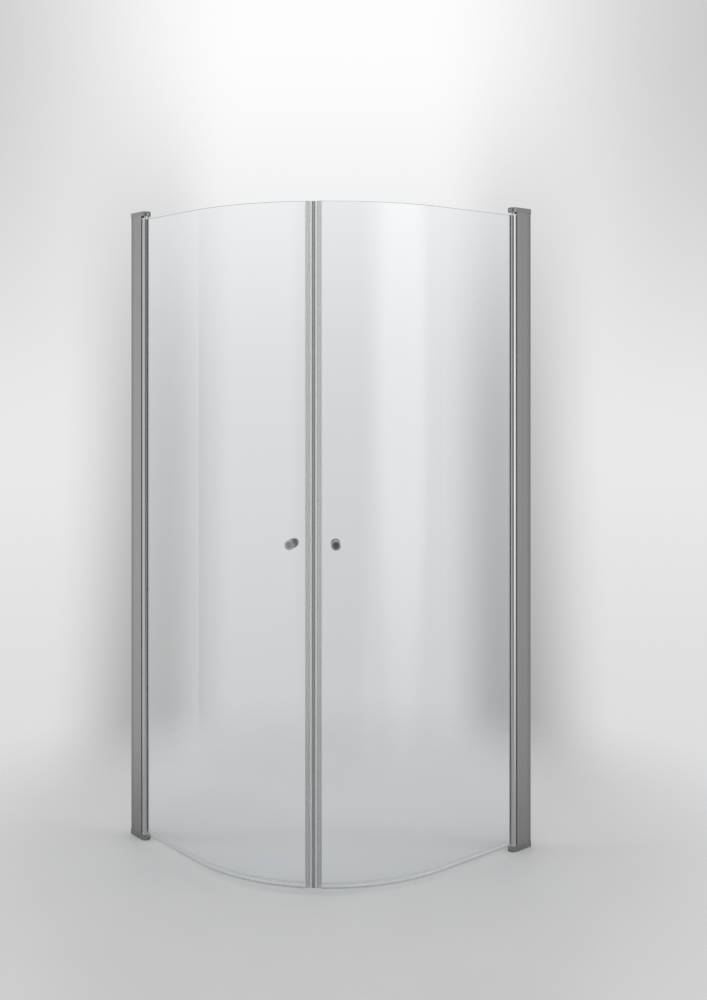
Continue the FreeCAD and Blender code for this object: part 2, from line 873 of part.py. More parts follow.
def place_drill(drill):
    """Sets a cylinder square through the glass where the knobs sit."""
    start = on_bow(size.knob_place, -size.glass_thickness * 2)
    place(drill, *start, size.knob_height)
    turn = knob_turn()
    lean = FreeCAD.Rotation(FreeCAD.Vector(0, 1, 0), 90)
    about = FreeCAD.Rotation(FreeCAD.Vector(0, 0, 1), turn.value)
    drill.Placement = FreeCAD.Placement(drill.Placement.Base, about.multiply(lean))


def magnet_seal():
    """The clear strip on the closing edge: channel, hollow neck, magnet nose."""
    body = new_body("left_magnet_seal")
    sketch = new_sketch(body)
    tip = size.meeting_gap / 2
    round_tip = size.nose_tip_radius
    nose = size.nose_half
    neck = size.neck_half
    inside = glass_half + size.seal_play
    outside = inside + size.seal_leg
    outline(
        sketch,
        (*on_bow(tip, 0), round_tip, "cw"),
        (*on_bow(tip + round_tip, round_tip), round_tip, "cw"),
        on_bow(size.nose_end, nose),
        on_bow(size.nose_end, neck),
        on_bow(size.neck_end, neck),
        on_bow(size.neck_end, outside),
        (*on_bow(size.seal_end, outside), bow_radius + outside, "cw"),
        on_bow(size.seal_end, inside),
        (*on_bow(size.seal_floor, inside), bow_radius + inside, "ccw"),
        on_bow(size.seal_floor, -inside),
        (*on_bow(size.seal_end, -inside), bow_radius - inside, "cw"),
        on_bow(size.seal_end, -outside),
        (*on_bow(size.neck_end, -outside), bow_radius - outside, "ccw"),
        on_bow(size.neck_end, -neck),
        on_bow(size.nose_end, -neck),
        on_bow(size.nose_end, -nose),
        on_bow(tip + round_tip, -round_tip),
    )
    neck_low = size.nose_end + size.neck_skin
    neck_high = size.neck_end - size.neck_skin
    hollow = neck - size.neck_skin
    outline(
        sketch,
        on_bow(neck_low, hollow),
        on_bow(neck_high, hollow),
        on_bow(neck_high, -hollow),
        on_bow(neck_low, -hollow),
    )
    magnet_outline(sketch, as_size(0))
    pad(body, sketch, column_length)
    place(body, 0, 0, column_bottom)
    return body


def magnet_outline(sketch, play):
    """The magnet's outline, or with no play that of the cavity that holds it."""
    centre = size.meeting_gap / 2 + size.nose_tip_radius
    tip = size.nose_tip_radius - size.nose_skin - play
    root_half = size.nose_half - size.nose_skin - play
    outline(
        sketch,
        (*on_bow(centre - tip, 0), tip, "cw"),
        (*on_bow(centre, tip), tip, "cw"),
        on_bow(size.nose_end - play, root_half),
        on_bow(size.nose_end - play, -root_half),
        on_bow(centre, -tip),
    )


def magnet_strip():
    """The flexible magnet inside the seal's nose."""
    body = new_body("left_magnet_strip")
    sketch = new_sketch(body)
    magnet_outline(sketch, size.magnet_play)
    pad(body, sketch, column_length)
    place(body, 0, 0, column_bottom)
    return body


def bottom_seal():
    """The clear wiper under the glass, swept along the glass's own line."""
    body = new_body("left_bottom_seal")
    start = size.hinge_reach + column_radius + size.seal_start_gap
    path = new_sketch(body)
    far = on_bow(size.seal_end + size.seal_end_gap, 0)
    open_path(path, (start, middle_v), (bow_u, middle_v), (*far, bow_radius, "ccw"))
    section = new_sketch(body, "YZ_Plane", start)
    inside = glass_half + size.seal_play
    outside = inside + size.seal_leg
    leg_top = glass_bottom + size.leg_height
    floor_top = glass_bottom - size.edge_play
    floor = floor_top - size.seal_leg
    fin = size.fin_half
    foot = column_bottom
    drip = outside + size.lip_spread
    profile = [
        (-outside, leg_top),
        (-inside, leg_top),
        (-inside, floor_top),
        (inside, floor_top),
        (inside, leg_top),
        (outside, leg_top),
        (outside, floor),
        (fin, floor),
        (fin, foot),
        (-fin, foot),
        (-fin, floor),
        (-outside + size.lip_thickness, floor),
        (-drip + size.lip_thickness, foot),
        (-drip, foot),
        (-outside, floor),
    ]
    outline(section, *[(middle_v + across, level) for across, level in profile])
    pipe = body.newObject("PartDesign::AdditivePipe", body.Name + "_pipe")
    pipe.Profile = section
    pipe.Spine = (path, ["Edge1", "Edge2"])
    body.Tip = pipe
    doc.recompute()
    place(body, 0, 0, 0)
    return body


def open_path(sketch, start, *steps):
    """Adds a chain of lines and arcs that isn't closed."""
    corners = [(as_size(step[0]), as_size(step[1])) for step in (start, *steps)]
    points = [FreeCAD.Vector(x.value, y.value, 0) for x, y in corners]
    for number, step in enumerate(steps):
        begin = points[number]
        finish = points[number + 1]
        ends = (1, 2)
        if len(step) == 2:
            segment = sketch.addGeometry(Part.LineSegment(begin, finish), False)
        else:
            arc, ends = arc_between(begin, finish, step[2].value, step[3])
            segment = sketch.addGeometry(arc, False)
            fix_radius(sketch, segment, step[2])
        if number:
            joint = (number - 1, 2, segment, ends[0])
            sketch.addConstraint(Sketcher.Constraint("Coincident", *joint))
        else:
            fix_point(sketch, segment, ends[0], *corners[0])
        fix_point(sketch, segment, ends[1], *corners[number + 1])


# ---------------------------------------------------------------- knobs


def knob(name, outward):
    """A turned knob: foot, groove, and a shallow dish in front."""
    back = size.grommet_flange
    rim = size.knob_radius
    foot = size.knob_foot_radius
    start = back + size.knob_foot
    groove = start + size.knob_groove_place
    cut = size.knob_groove
    front = size.knob_length
    edge = size.knob_edge
    bore = size.stud_radius + size.screw_play
    steps = [
        (back, foot),
        (start, foot),
        (start + rim - foot, rim),
        (groove - cut, rim),
        (groove, rim - cut),
        (groove + cut, rim),
        (front - edge, rim),
        (front, rim - edge, edge, "cw"),
        (front, size.dish_radius),
        (front - size.dish_depth, size.dish_radius - size.dish_depth),
        (front - size.dish_depth, 0),
        (back + size.stud_bite + size.lift_room, 0),
        (back + size.stud_bite, bore),
        (back, bore),
    ]
    body = turned(name, steps, "X")
    offset = glass_half if outward else -glass_half
    turn = knob_turn() if outward else knob_turn() + 180
    place(body, *on_bow(size.knob_place, offset), size.knob_height, angle=turn)
    return body


def knob_stud():
    """The threaded stud that joins the two knobs through the glass."""
    reach = glass_half + size.grommet_flange + size.stud_bite
    radius = size.stud_radius
    bevel = size.stud_bevel
    body = turned(
        "left_knob_stud",
        [
            (-reach, radius - bevel),
            (-reach + bevel, radius),
            (reach - bevel, radius),
            (reach, radius - bevel),
            (reach, 0),
            (-reach, 0),
        ],
        "X",
    )
    place_at_knob(body)
    return body


def knob_grommets(pane):
    """Two soft grommets, moulded to the bow, that keep the knobs off the glass."""
    bore = size.stud_radius + size.grommet_play
    neck = size.glass_hole_radius - size.grommet_play
    bed = glass_half - size.grommet_bed
    front = glass_half + size.grommet_flange
    body = turned(
        "left_grommet_blanks",
        [
            (size.grommet_play, neck),
            (bed, neck),
            (bed, size.grommet_radius),
            (front, size.grommet_radius),
            (front, bore),
            (size.grommet_play, bore),
        ],
        "X",
    )
    pair = body.newObject("PartDesign::Mirrored", body.Name + "_pair")
    pair.Originals = [body.Tip]
    pair.MirrorPlane = (origin_feature(body, "YZ_Plane"), [""])
    body.Tip = pair
    place_at_knob(body)
    return cut_from("left_knob_grommets", body, pane)


def place_at_knob(body):
    """Sets a piece turned round X square through the glass at the knobs."""
    spot = on_bow(size.knob_place, as_size(0))
    place(body, *spot, size.knob_height, angle=knob_turn())


# ---------------------------------------------------------------- the whole


def mirror_image(item):
    """The right hand copy of a left hand piece."""
    name = item.Label.replace("left_", "right_")
    image = doc.addObject("Part::Mirroring", name)
    image.Label = name
    image.Source = item
    image.Base = FreeCAD.Vector(0, 0, 0)
    image.Normal = FreeCAD.Vector(1, 1, 0)
    return image


left_glass = glass()
left_pieces = [
    wall_channel(),
    cover_profile(),
    lock_screws(),
    end_cap(TOP),
    end_cap(BOTTOM),
    cap_screws(TOP),
    cap_screws(BOTTOM),
    nose_screw(TOP),
    nose_screw(BOTTOM),
    hinge_pin(TOP),
    hinge_pin(BOTTOM),
    thrust_washer(),
    column(),
    bush(TOP),
    bush(BOTTOM),
    glazing_gasket(),
    left_glass,
    magnet_seal(),
    magnet_strip(),
    bottom_seal(),
    knob("left_outer_knob", outward=True),
    knob("left_inner_knob", outward=False),
    knob_stud(),
    knob_grommets(left_glass),
]
pieces = left_pieces + [mirror_image(item) for item in left_pieces]
doc.recompute()

# ---------------------------------------------------------------- tests and export

for item in doc.Objects:
    if "Invalid" in item.State or "Error" in item.State:
        raise RuntimeError(f"{item.Name} failed: {item.State}")
    if item.TypeId in ("PartDesign::Pocket", "PartDesign::Groove"):
        removed = item.BaseFeature.Shape.Volume - item.Shape.Volume
        if removed < 0.1:
            raise RuntimeError(f"{item.Name} cuts nothing")

os.makedirs("parts", exist_ok=True)
for item in pieces:
    if item.Shape.isNull() or not item.Shape.isValid():
        raise RuntimeError(f"{item.Label} has no valid shape")
    item.Shape.exportStep(f"parts/{item.Label}.step")
    box = item.Shape.BoundBox
    print(
        f"{item.Label}: {len(item.Shape.Solids)} solid(s), {item.Shape.Volume:.0f} mm3,",
        f"x {box.XMin:.1f} {box.XMax:.1f}, y {box.YMin:.1f} {box.YMax:.1f},",
        f"z {box.ZMin:.1f} {box.ZMax:.1f}",
    )
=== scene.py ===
# %% [markdown]
# # Quadrant shower enclosure: the looks
# Two bowed glass doors close a corner of the room. Each hangs on a round hinge
# column beside an aluminium profile on the wall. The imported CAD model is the
# frame of this scene, and nothing in it moves. The two wall channels are plain
# extrusions that look right as they are, so they only get a material. All other
# pieces are drawn again in the same place, with rounder curves and softer edges
# than CAD facets have, and each stands for its CAD node.

# %% the frame
import bmesh
import bpy
import json
import math
from mathutils import Matrix, Vector
from mathutils.geometry import tessellate_polygon


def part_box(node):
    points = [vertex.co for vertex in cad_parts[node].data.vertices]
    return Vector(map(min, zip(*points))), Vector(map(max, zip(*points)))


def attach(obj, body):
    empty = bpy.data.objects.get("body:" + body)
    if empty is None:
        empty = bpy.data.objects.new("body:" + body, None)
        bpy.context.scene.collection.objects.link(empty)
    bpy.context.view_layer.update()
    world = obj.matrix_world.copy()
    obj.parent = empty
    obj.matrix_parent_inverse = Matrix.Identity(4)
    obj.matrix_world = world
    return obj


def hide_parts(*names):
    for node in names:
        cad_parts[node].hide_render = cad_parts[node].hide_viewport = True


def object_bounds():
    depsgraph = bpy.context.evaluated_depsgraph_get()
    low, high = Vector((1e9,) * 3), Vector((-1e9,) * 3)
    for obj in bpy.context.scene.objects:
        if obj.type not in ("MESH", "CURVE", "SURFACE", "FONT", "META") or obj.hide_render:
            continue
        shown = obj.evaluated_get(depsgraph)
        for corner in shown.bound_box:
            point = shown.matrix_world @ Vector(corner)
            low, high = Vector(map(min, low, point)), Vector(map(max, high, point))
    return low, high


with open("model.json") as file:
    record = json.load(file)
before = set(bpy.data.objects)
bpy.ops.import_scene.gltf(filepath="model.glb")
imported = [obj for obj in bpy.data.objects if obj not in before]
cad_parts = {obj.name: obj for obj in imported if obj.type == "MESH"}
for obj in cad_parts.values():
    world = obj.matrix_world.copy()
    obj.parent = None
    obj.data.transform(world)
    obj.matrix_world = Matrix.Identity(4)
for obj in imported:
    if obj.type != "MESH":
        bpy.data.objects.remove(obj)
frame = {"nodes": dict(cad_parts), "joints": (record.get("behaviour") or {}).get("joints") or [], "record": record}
cad_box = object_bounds()
print("CAD box", [round(edge, 4) for corner in cad_box for edge in corner])

# %% [markdown]
# ## Sizes
# Everything is drawn in millimetres for the left side, and the right side is its
# mirror image. `u` is the distance from the left wall, `v` the distance inwards
# from the profile's outer face and `z` the height. Along the glass, `s` is the
# distance from the wall on the bow's middle line and `o` the offset outwards
# from it. Overall sizes and places are read from the frame's boxes and from its
# hinge joint, so the two models can't drift apart. Sizes that a box doesn't
# show are written here or beside the piece that needs them.

# %% sizes
MM = 0.001


def in_mm(length):
    """A length of the frame in millimetres, to a hundredth."""
    return round(length / MM, 2)


cover_low, cover_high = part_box("left_cover_profile")
column_low, column_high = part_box("left_column")
hinge = next(joint for joint in frame["joints"] if joint["name"] == "left_door_hinge")

ROOM_SIDE = in_mm(cad_box[1][0] - cad_box[0][0])
PROFILE_DEPTH = in_mm(cover_high.y - cover_low.y)
MIDDLE_V = PROFILE_DEPTH / 2
PROFILE_BOTTOM, PROFILE_TOP = in_mm(cover_low.z), in_mm(cover_high.z)
COLUMN_BOTTOM, COLUMN_TOP = in_mm(column_low.z), in_mm(column_high.z)
GLASS_BOTTOM = in_mm(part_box("left_glass")[0].z)
HINGE_U = in_mm(hinge["pos_m"][0]) + ROOM_SIDE / 2
LIP_U = HINGE_U - 6
COLUMN_RADIUS = MIDDLE_V - 2.5
GLASS_HALF = 3
CORNER_RADIUS = 512
BOW_RADIUS = CORNER_RADIUS - GLASS_HALF
BOW_U = ROOM_SIDE - MIDDLE_V - BOW_RADIUS
BOW_V = MIDDLE_V + BOW_RADIUS
MEETING_S = BOW_U + BOW_RADIUS * math.pi / 4
print("profile", PROFILE_BOTTOM, "to", PROFILE_TOP, "and column", COLUMN_BOTTOM, "to", COLUMN_TOP, "mm high")
print("hinge axis", HINGE_U, "mm from the wall, glass line", round(MEETING_S, 2), "mm long")

# %% [markdown]
# ## Node trees
# Materials and Geometry Nodes rules are both trees of small nodes, and one
# formula can take a dozen of them. A `Wire` is an output socket that takes part
# in sums: each operator adds its Math node, so the formula reads as one line.
# Colours and vectors don't go through Math nodes, which would turn them grey, so
# `Tree` has a short call for a mix, a join and a split. `Tree.node` makes any
# other node.


# %% wires
class Wire:
    """An output socket that takes part in sums."""

    def __init__(self, tree, socket):
        self.tree = tree
        self.socket = socket

    def output(self, name):
        """Another output of the same node."""
        return Wire(self.tree, self.socket.node.outputs[name])

    def math(self, operation, *others):
        return self.tree.maths(operation, self, *others)

    def __add__(self, other):
        return self.math("ADD", other)

    def __radd__(self, other):
        return self.math("ADD", other)

    def __sub__(self, other):
        return self.math("SUBTRACT", other)

    def __rsub__(self, other):
        return self.tree.maths("SUBTRACT", other, self)

    def __mul__(self, other):
        return self.math("MULTIPLY", other)

    def __rmul__(self, other):
        return self.math("MULTIPLY", other)

    def __truediv__(self, other):
        return self.math("DIVIDE", other)

    def __rtruediv__(self, other):
        return self.tree.maths("DIVIDE", other, self)

    def clamped(self, low=0.0, high=1.0):
        return self.math("MAXIMUM", low).math("MINIMUM", high)


# %% trees
class Tree:
    """Builds one node tree."""

    def __init__(self, tree):
        self.tree = tree

    def feed(self, socket, value):
        """Gives a socket a wire or a plain value."""
        if isinstance(value, Wire):
            self.tree.links.new(value.socket, socket)
        else:
            socket.default_value = value

    def node(self, kind, settings=None, inputs=None, output=0):
        """A node: its settings first, then what goes into its sockets."""
        made = self.tree.nodes.new(kind)
        for name, value in (settings or {}).items():
            setattr(made, name, value)
        for name, value in (inputs or {}).items():
            self.feed(made.inputs[name], value)
        if len(made.outputs) == 0:
            return made
        return Wire(self, made.outputs[output])

    def maths(self, operation, *values):
        inputs = dict(enumerate(values))
        return self.node("ShaderNodeMath", {"operation": operation}, inputs)

    def mix(self, factor, first, second):
        """A colour between two colours."""
        inputs = {0: factor, 6: first, 7: second}
        return self.node("ShaderNodeMix", {"data_type": "RGBA"}, inputs, output=2)

    def grey(self, value):
        """A grey of that brightness."""
        return self.node("ShaderNodeCombineColor", None, {0: value, 1: value, 2: value})

    def split(self, vector):
        """The three parts of a vector."""
        parts = self.node("ShaderNodeSeparateXYZ", None, {0: vector})
        return parts, parts.output("Y"), parts.output("Z")

    def join(self, x, y, z):
        return self.node("ShaderNodeCombineXYZ", None, {0: x, 1: y, 2: z})

    def along(self, vector, way):
        """How far a vector reaches in a fixed direction."""
        inputs = {0: vector, 1: way}
        return self.node("ShaderNodeVectorMath", {"operation": "DOT_PRODUCT"}, inputs, output=1)

    def ease(self, value, start, stop, low=0.0, high=1.0):
        """Goes smoothly from low to high while the value goes from start to stop."""
        inputs = {"Value": value, "From Min": start, "From Max": stop, "To Min": low, "To Max": high}
        return self.node("ShaderNodeMapRange", {"interpolation_type": "SMOOTHSTEP"}, inputs)


# %% [markdown]
# ## Materials
# No real surface has one flat colour. Metal, glass and vinyl vary a little in
# tone, gloss and height, and each finish below adds that with noise of the grain
# that its making leaves. An image texture could do it too, but noise has no
# seams and stays sharp from close by. All patterns read Object coordinates, in
# metres, because every piece sits at the origin.


# %% material helpers
def tint(red, green, blue):
    return (red, green, blue, 1.0)


class Finish(Tree):
    """A material's tree, with the patterns and measures that several finishes share."""

    def __init__(self, name):
        self.material = bpy.data.materials.new(name)
        self.material.use_nodes = True
        super().__init__(self.material.node_tree)
        self.tree.nodes.clear()
        self.place = self.node("ShaderNodeTexCoord").output("Object")

    def noise(self, across, along=None, detail=2.0):
        """Noise from 0 to 1 whose grains are that many millimetres in size."""
        along = across if along is None else along
        x, y, z = self.split(self.place)
        scaled = self.join(x / (across * MM), y / (across * MM), z / (along * MM))
        inputs = {"Vector": scaled, "Scale": 1.0, "Detail": detail}
        return self.node("ShaderNodeTexNoise", None, inputs)

    def from_wall(self):
        """Millimetres from the nearer wall."""
        x, y = self.split(self.place)[:2]
        half = ROOM_SIDE / 2 * MM
        return (x + half).math("MINIMUM", half - y) / MM

    def from_meeting(self):
        """Millimetres from the upright plane where the two doors meet."""
        x, y = self.split(self.place)[:2]
        return (x + y).math("ABSOLUTE") / (math.sqrt(2) * MM)

    def bump(self, height, distance):
        """A normal bent by a height, as if it were that many millimetres deep."""
        inputs = {"Height": height, "Distance": distance * MM, "Strength": 1.0}
        return self.node("ShaderNodeBump", None, inputs)

    def surface(self, **sockets):
        """A Principled shader; names of sockets have _ for a blank."""
        inputs = {name.replace("_", " "): value for name, value in sockets.items()}
        return self.node("ShaderNodeBsdfPrincipled", None, inputs)

    def done(self, shader):
        self.node("ShaderNodeOutputMaterial", None, {"Surface": shader})
        return self.material


# %% [markdown]
# ### Extruded aluminium
# Profiles and columns are pressed through a die, which leaves fine lines along
# their height, and then anodised. Noise that is stretched along `z` gives both
# the lines and slow clouds of tone. Along the lips of the cover profile a
# lighter strip is painted on: a painted highlight on their rounded edges.


# %% extruded metal
# The tone of the painted highlight along the cover profile's lips.
LIP_HIGHLIGHT_TONE = tint(0.6, 0.6, 0.6)


def drawn_metal(name, dark, light, roughness, line_depth, lip_highlight_strength=0.0):
    """Extruded aluminium: fine lines run along the height, and the lips get a painted highlight."""
    finish = Finish(name)
    lines = finish.noise(0.35, along=90)
    clouds = finish.noise(40, along=160)
    shade = (lines * 0.55 + clouds * 0.45).clamped()
    metal = finish.mix(shade, tint(*dark), tint(*light))
    # Painted highlight: a lighter strip that starts just short of the lip edge.
    painted_lip_highlight = finish.ease(finish.from_wall(), LIP_U - 2.5, LIP_U - 0.5) * lip_highlight_strength
    return finish.done(
        finish.surface(
            Base_Color=finish.mix(painted_lip_highlight, metal, LIP_HIGHLIGHT_TONE),
            Metallic=1.0,
            Roughness=(lines - 0.5) * 0.1 + (clouds - 0.5) * 0.04 + roughness,
            Normal=finish.bump(lines, line_depth),
        )
    )


# %% [markdown]
# ### Cast and turned metal
# Caps, knobs and screws have an even grain with no direction. Two small things
# get painted light in another tone: painted shade in the sink round a set screw,
# which no light reaches, and a painted highlight that makes the knobs' turned
# front brighter than their sides. Each is a mask, a number from 0 to 1 that is
# worked out from the place, and the mask picks between two tones.


# %% cast metal and its masks
SCREW_RISE = 6.5
SINK_RADIUS = 4.6
KNOB_LENGTH = 29


def cast_metal(name, dark, light, roughness, grain, mask=None, painted_tone=None):
    """Cast or turned metal: an even, fine grain, with painted light in another tone where the mask says."""
    finish = Finish(name)
    specks = finish.noise(grain)
    clouds = finish.noise(9)
    shade = (specks * 0.5 + clouds * 0.5).clamped()
    metal = finish.mix(shade, tint(*dark), tint(*light))
    if mask is not None:
        # Painted shade or a painted highlight, in its own tone, where the mask says.
        metal = finish.mix(mask(finish), metal, tint(*painted_tone))
    return finish.done(
        finish.surface(
            Base_Color=metal,
            Metallic=1.0,
            Roughness=(specks - 0.5) * 0.08 + (clouds - 0.5) * 0.05 + roughness,
            Normal=finish.bump(specks, 0.004),
        )
    )


def set_screw_sink_shade(finish):
    """1 in the sink round a set screw in a cap's nose, where shade is painted; 0 elsewhere."""
    x, y, z = finish.split(finish.place)
    half = ROOM_SIDE / 2 * MM
    beside = (y + half).math("MINIMUM", half - x) / MM - MIDDLE_V
    middle = (PROFILE_TOP + PROFILE_BOTTOM) / 2
    reach = PROFILE_TOP + SCREW_RISE - middle
    above = (z / MM - middle).math("ABSOLUTE") - reach
    radius = (beside * beside + above * above).math("SQRT")
    nose = finish.ease(finish.from_wall(), HINGE_U + 6, HINGE_U + 7)
    return finish.ease(radius, SINK_RADIUS, SINK_RADIUS - 0.3) * nose


def knob_painted_highlight(finish):
    """Painted highlight on a knob: none round its sides, some in the dish, most on the rim."""
    x, y = finish.split(finish.place)[:2]
    from_x = x - (BOW_U - ROOM_SIDE / 2) * MM
    from_y = y - (BOW_V - ROOM_SIDE / 2) * MM
    offset = ((from_x * from_x + from_y * from_y).math("SQRT") / MM - BOW_RADIUS).math("ABSOLUTE")
    front = GLASS_HALF + KNOB_LENGTH
    dish = finish.ease(offset, front - 1.8, front - 1.1)
    rim = finish.ease(offset, front - 0.8, front - 0.4)
    return dish * 0.4 + rim * 0.6


# %% [markdown]
# ### Rubber and plastic
# Gaskets are extruded and bushes are moulded, so their skin has a soft, shallow
# grain and no metal in it. The strip inside each closing seal is magnet powder
# in grey rubber, with painted shade that turns it black where the two strips meet.


# %% gaskets, bushes, magnets
def soft_plastic(name, dark, light, roughness, alpha=1.0):
    """Rubber, vinyl or acetal, with a moulded or extruded skin; alpha under 1 lets light through."""
    finish = Finish(name)
    grain = finish.noise(0.6, along=25)
    clouds = finish.noise(30, along=120)
    if alpha < 1:
        alpha = (clouds - 0.5) * 0.08 + alpha
    return finish.done(
        finish.surface(
            Base_Color=finish.mix(clouds, tint(*dark), tint(*light)),
            Roughness=(grain - 0.5) * 0.12 + roughness,
            Alpha=alpha,
            Normal=finish.bump(grain, 0.01),
        )
    )


def magnet_rubber(name):
    """Magnet strip: grey rubber, with painted shade that turns it black where the two meet."""
    finish = Finish(name)
    grain = finish.noise(0.8, along=12)
    # Painted shade: black near the meeting plane, the rubber's own grey further back.
    back = (finish.ease(finish.from_meeting(), 1.4, 2.6) + (grain - 0.5) * 0.1).clamped()
    return finish.done(
        finish.surface(
            Base_Color=finish.mix(back, tint(0.035, 0.035, 0.035), tint(0.34, 0.34, 0.33)),
            Roughness=(grain - 0.5) * 0.1 + 0.6,
            Normal=finish.bump(grain, 0.01),
        )
    )


# %% [markdown]
# ### Clear seals
# The closing and bottom seals are thin, clear vinyl. Light is lost in the long
# legs on the glass and at the thick edges, and hardly at all in the neck. Real
# refraction in such thin walls gives noise and little else, so alpha says how
# much each stretch holds back, with masks along the seal's section and height.
# Some masks paint light: painted shade where the two closing seals meet and low
# down on the legs, a painted shadow at the foot of the bottom seal, and a
# painted highlight, besides the real thickness, on the legs' top edge.

# %% clear vinyl
NECK_END, LEG_END, LEG_TOP = 9, 23.5, 37


def clear_vinyl(name):
    """Clear seals: smoky legs, a light neck, a more opaque top edge on the legs that is partly a painted
    highlight, painted shade at the meeting tips and low down, and a painted shadow at the foot.
    """
    finish = Finish(name)
    z = finish.split(finish.place)[2]
    meeting = finish.from_meeting()
    # Painted shade where the two closing seals meet.
    tip = finish.ease(meeting, 2.0, 1.2)
    legs = finish.ease(meeting, NECK_END - 0.3, NECK_END + 0.3)
    wiper = finish.ease(meeting, LEG_END + 0.1, LEG_END + 0.5)
    # Painted shade: the legs grow darker towards the bottom.
    low_down = finish.ease(z, 1.0, 0.1)
    # A more opaque top edge on the legs: partly their real thickness, partly a painted highlight.
    leg_top = finish.ease(z / MM, LEG_TOP - 1.2, LEG_TOP - 0.6)
    # Painted shadow along the foot of the bottom seal, where it nears the floor.
    foot = finish.ease(z / MM, COLUMN_BOTTOM + 2.2, COLUMN_BOTTOM + 0.6)
    clouds = finish.noise(3, along=140)
    # Alpha: the legs' own smoke, with painted shade low down and at the meeting tips.
    smoke_and_shade = legs * (low_down * 0.06 + 0.035) * (1 - wiper) + tip * 0.8
    # Alpha along the bottom seal's edges: the legs' top edge, partly a painted highlight, and a painted shadow at
    # the foot.
    edges = wiper * (leg_top * 0.22 + foot * 0.4)
    dark = finish.mix(clouds, tint(0.24, 0.25, 0.25), tint(0.30, 0.31, 0.31))
    pale = finish.mix(clouds, tint(0.55, 0.58, 0.58), tint(0.62, 0.65, 0.65))
    darker = (legs * (1 - wiper) + wiper * foot + tip).clamped()
    # Colour: the near black at the tips is painted shade and the grey at the foot a painted shadow; the legs' grey
    # is their own smoke.
    return finish.done(
        finish.surface(
            Base_Color=finish.mix(darker, pale, finish.mix(tip, dark, tint(0.06, 0.06, 0.06))),
            Roughness=clouds * 0.08 + 0.22,
            Alpha=(clouds - 0.5) * 0.06 + 0.12 + smoke_and_shade + edges,
            Normal=finish.bump(clouds, 0.01),
        )
    )


# %% [markdown]
# ### Glass
# The panes are toughened float glass, 6 mm thick, with a real thickness in the
# mesh too, so transmission with the index of glass bends and mirrors as it
# should. Its green shows only along the edges, where the light has come a long
# way, so faces that point up or down are greener. Shadow rays pass straight
# through, because caustics would be slow and would darken the floor.


# %% clear glass
def clear_glass(name):
    """Toughened float glass: clear, greener on its edges, open to lamp light."""
    finish = Finish(name)
    normal = finish.node("ShaderNodeNewGeometry").output("Normal")
    edge_on = finish.split(normal)[2].math("ABSOLUTE").math("GREATER_THAN", 0.5)
    face = finish.mix(finish.noise(120), tint(0.948, 0.968, 0.982), tint(0.956, 0.976, 0.988))
    glass = finish.surface(
        Base_Color=finish.mix(edge_on, face, tint(0.72, 0.86, 0.82)),
        Roughness=finish.noise(60) * 0.012,
        IOR=1.52,
        Transmission_Weight=1.0,
    )
    clear = finish.node("ShaderNodeBsdfTransparent", None, {"Color": tint(0.94, 0.955, 0.965)})
    shadow = finish.node("ShaderNodeLightPath").output("Is Shadow Ray")
    return finish.done(finish.node("ShaderNodeMixShader", None, {0: shadow, 1: glass, 2: clear}))


# %% [markdown]
# ### One finish for each slot
# The record names a material slot for every node. Each slot gets one finish
# here: its darkest and lightest tone, its roughness, and the depth of its lines
# or the size of its grain in millimetres. The CAD nodes are dressed first, and
# the pieces drawn below take theirs from the same table.

# %% the finishes
finishes = {
    "profile": drawn_metal(
        "satin_profile", (0.28, 0.28, 0.278), (0.32, 0.32, 0.318), roughness=0.36, line_depth=0.004,
        # a painted highlight along the lips
        lip_highlight_strength=0.5,
    ),
    "channel": drawn_metal(
        "satin_channel", (0.25, 0.25, 0.248), (0.29, 0.29, 0.288), roughness=0.42, line_depth=0.004
    ),
    "column": drawn_metal(
        "polished_column", (0.46, 0.46, 0.47), (0.54, 0.54, 0.55), roughness=0.14, line_depth=0.002
    ),
    "cap": cast_metal(
        "satin_cap", (0.25, 0.25, 0.248), (0.29, 0.29, 0.288), roughness=0.32, grain=0.25,
        # painted shade in the sink round the set screw
        mask=set_screw_sink_shade, painted_tone=(0.03, 0.03, 0.03),
    ),
    "knob": cast_metal(
        "dark_chrome_knob", (0.10, 0.10, 0.103), (0.14, 0.14, 0.143), roughness=0.11, grain=0.4,
        # a painted highlight on the dish and rim of the knob's front
        mask=knob_painted_highlight, painted_tone=(0.46, 0.46, 0.47),
    ),
    "screw": cast_metal("stainless_screw", (0.5, 0.5, 0.5), (0.58, 0.58, 0.57), roughness=0.25, grain=0.3),
    "set_screw": cast_metal(
        "steel_set_screw", (0.78, 0.78, 0.78), (0.86, 0.86, 0.85), roughness=0.2, grain=0.3
    ),
    "pin": cast_metal("ground_pin", (0.6, 0.6, 0.6), (0.68, 0.68, 0.67), roughness=0.2, grain=0.3),
    "gasket": soft_plastic("grey_gasket", (0.18, 0.18, 0.185), (0.23, 0.23, 0.235), roughness=0.5),
    "bush": soft_plastic("white_acetal", (0.74, 0.74, 0.72), (0.8, 0.8, 0.78), roughness=0.4),
    "grommet": soft_plastic(
        "clear_grommet", (0.55, 0.58, 0.58), (0.62, 0.65, 0.65), roughness=0.25, alpha=0.6
    ),
    "magnet": magnet_rubber("black_magnet"),
    "clear_seal": clear_vinyl("clear_vinyl"),
    "glass": clear_glass("clear_glass"),
}
for part in frame["record"]["subparts"]:
    mesh = frame["nodes"][part["node"]].data
    mesh.materials.clear()
    mesh.materials.append(finishes[part["material_slot"]])
print(len(finishes), "finishes on", len(frame["nodes"]), "CAD nodes")

# %% [markdown]
# ## Drawing
# The pieces are lathe work, extrusions and bent strips, and `bmesh` can draw all
# three from a short outline: a prism for an extrusion, a turned piece for the
# lathe, and a strip for what follows the glass. Outlines hold only the corners
# that the shape needs. Arcs come from a formula, and sharp corners are softened
# afterwards, because no extruded edge is sharp and a softened one catches light.


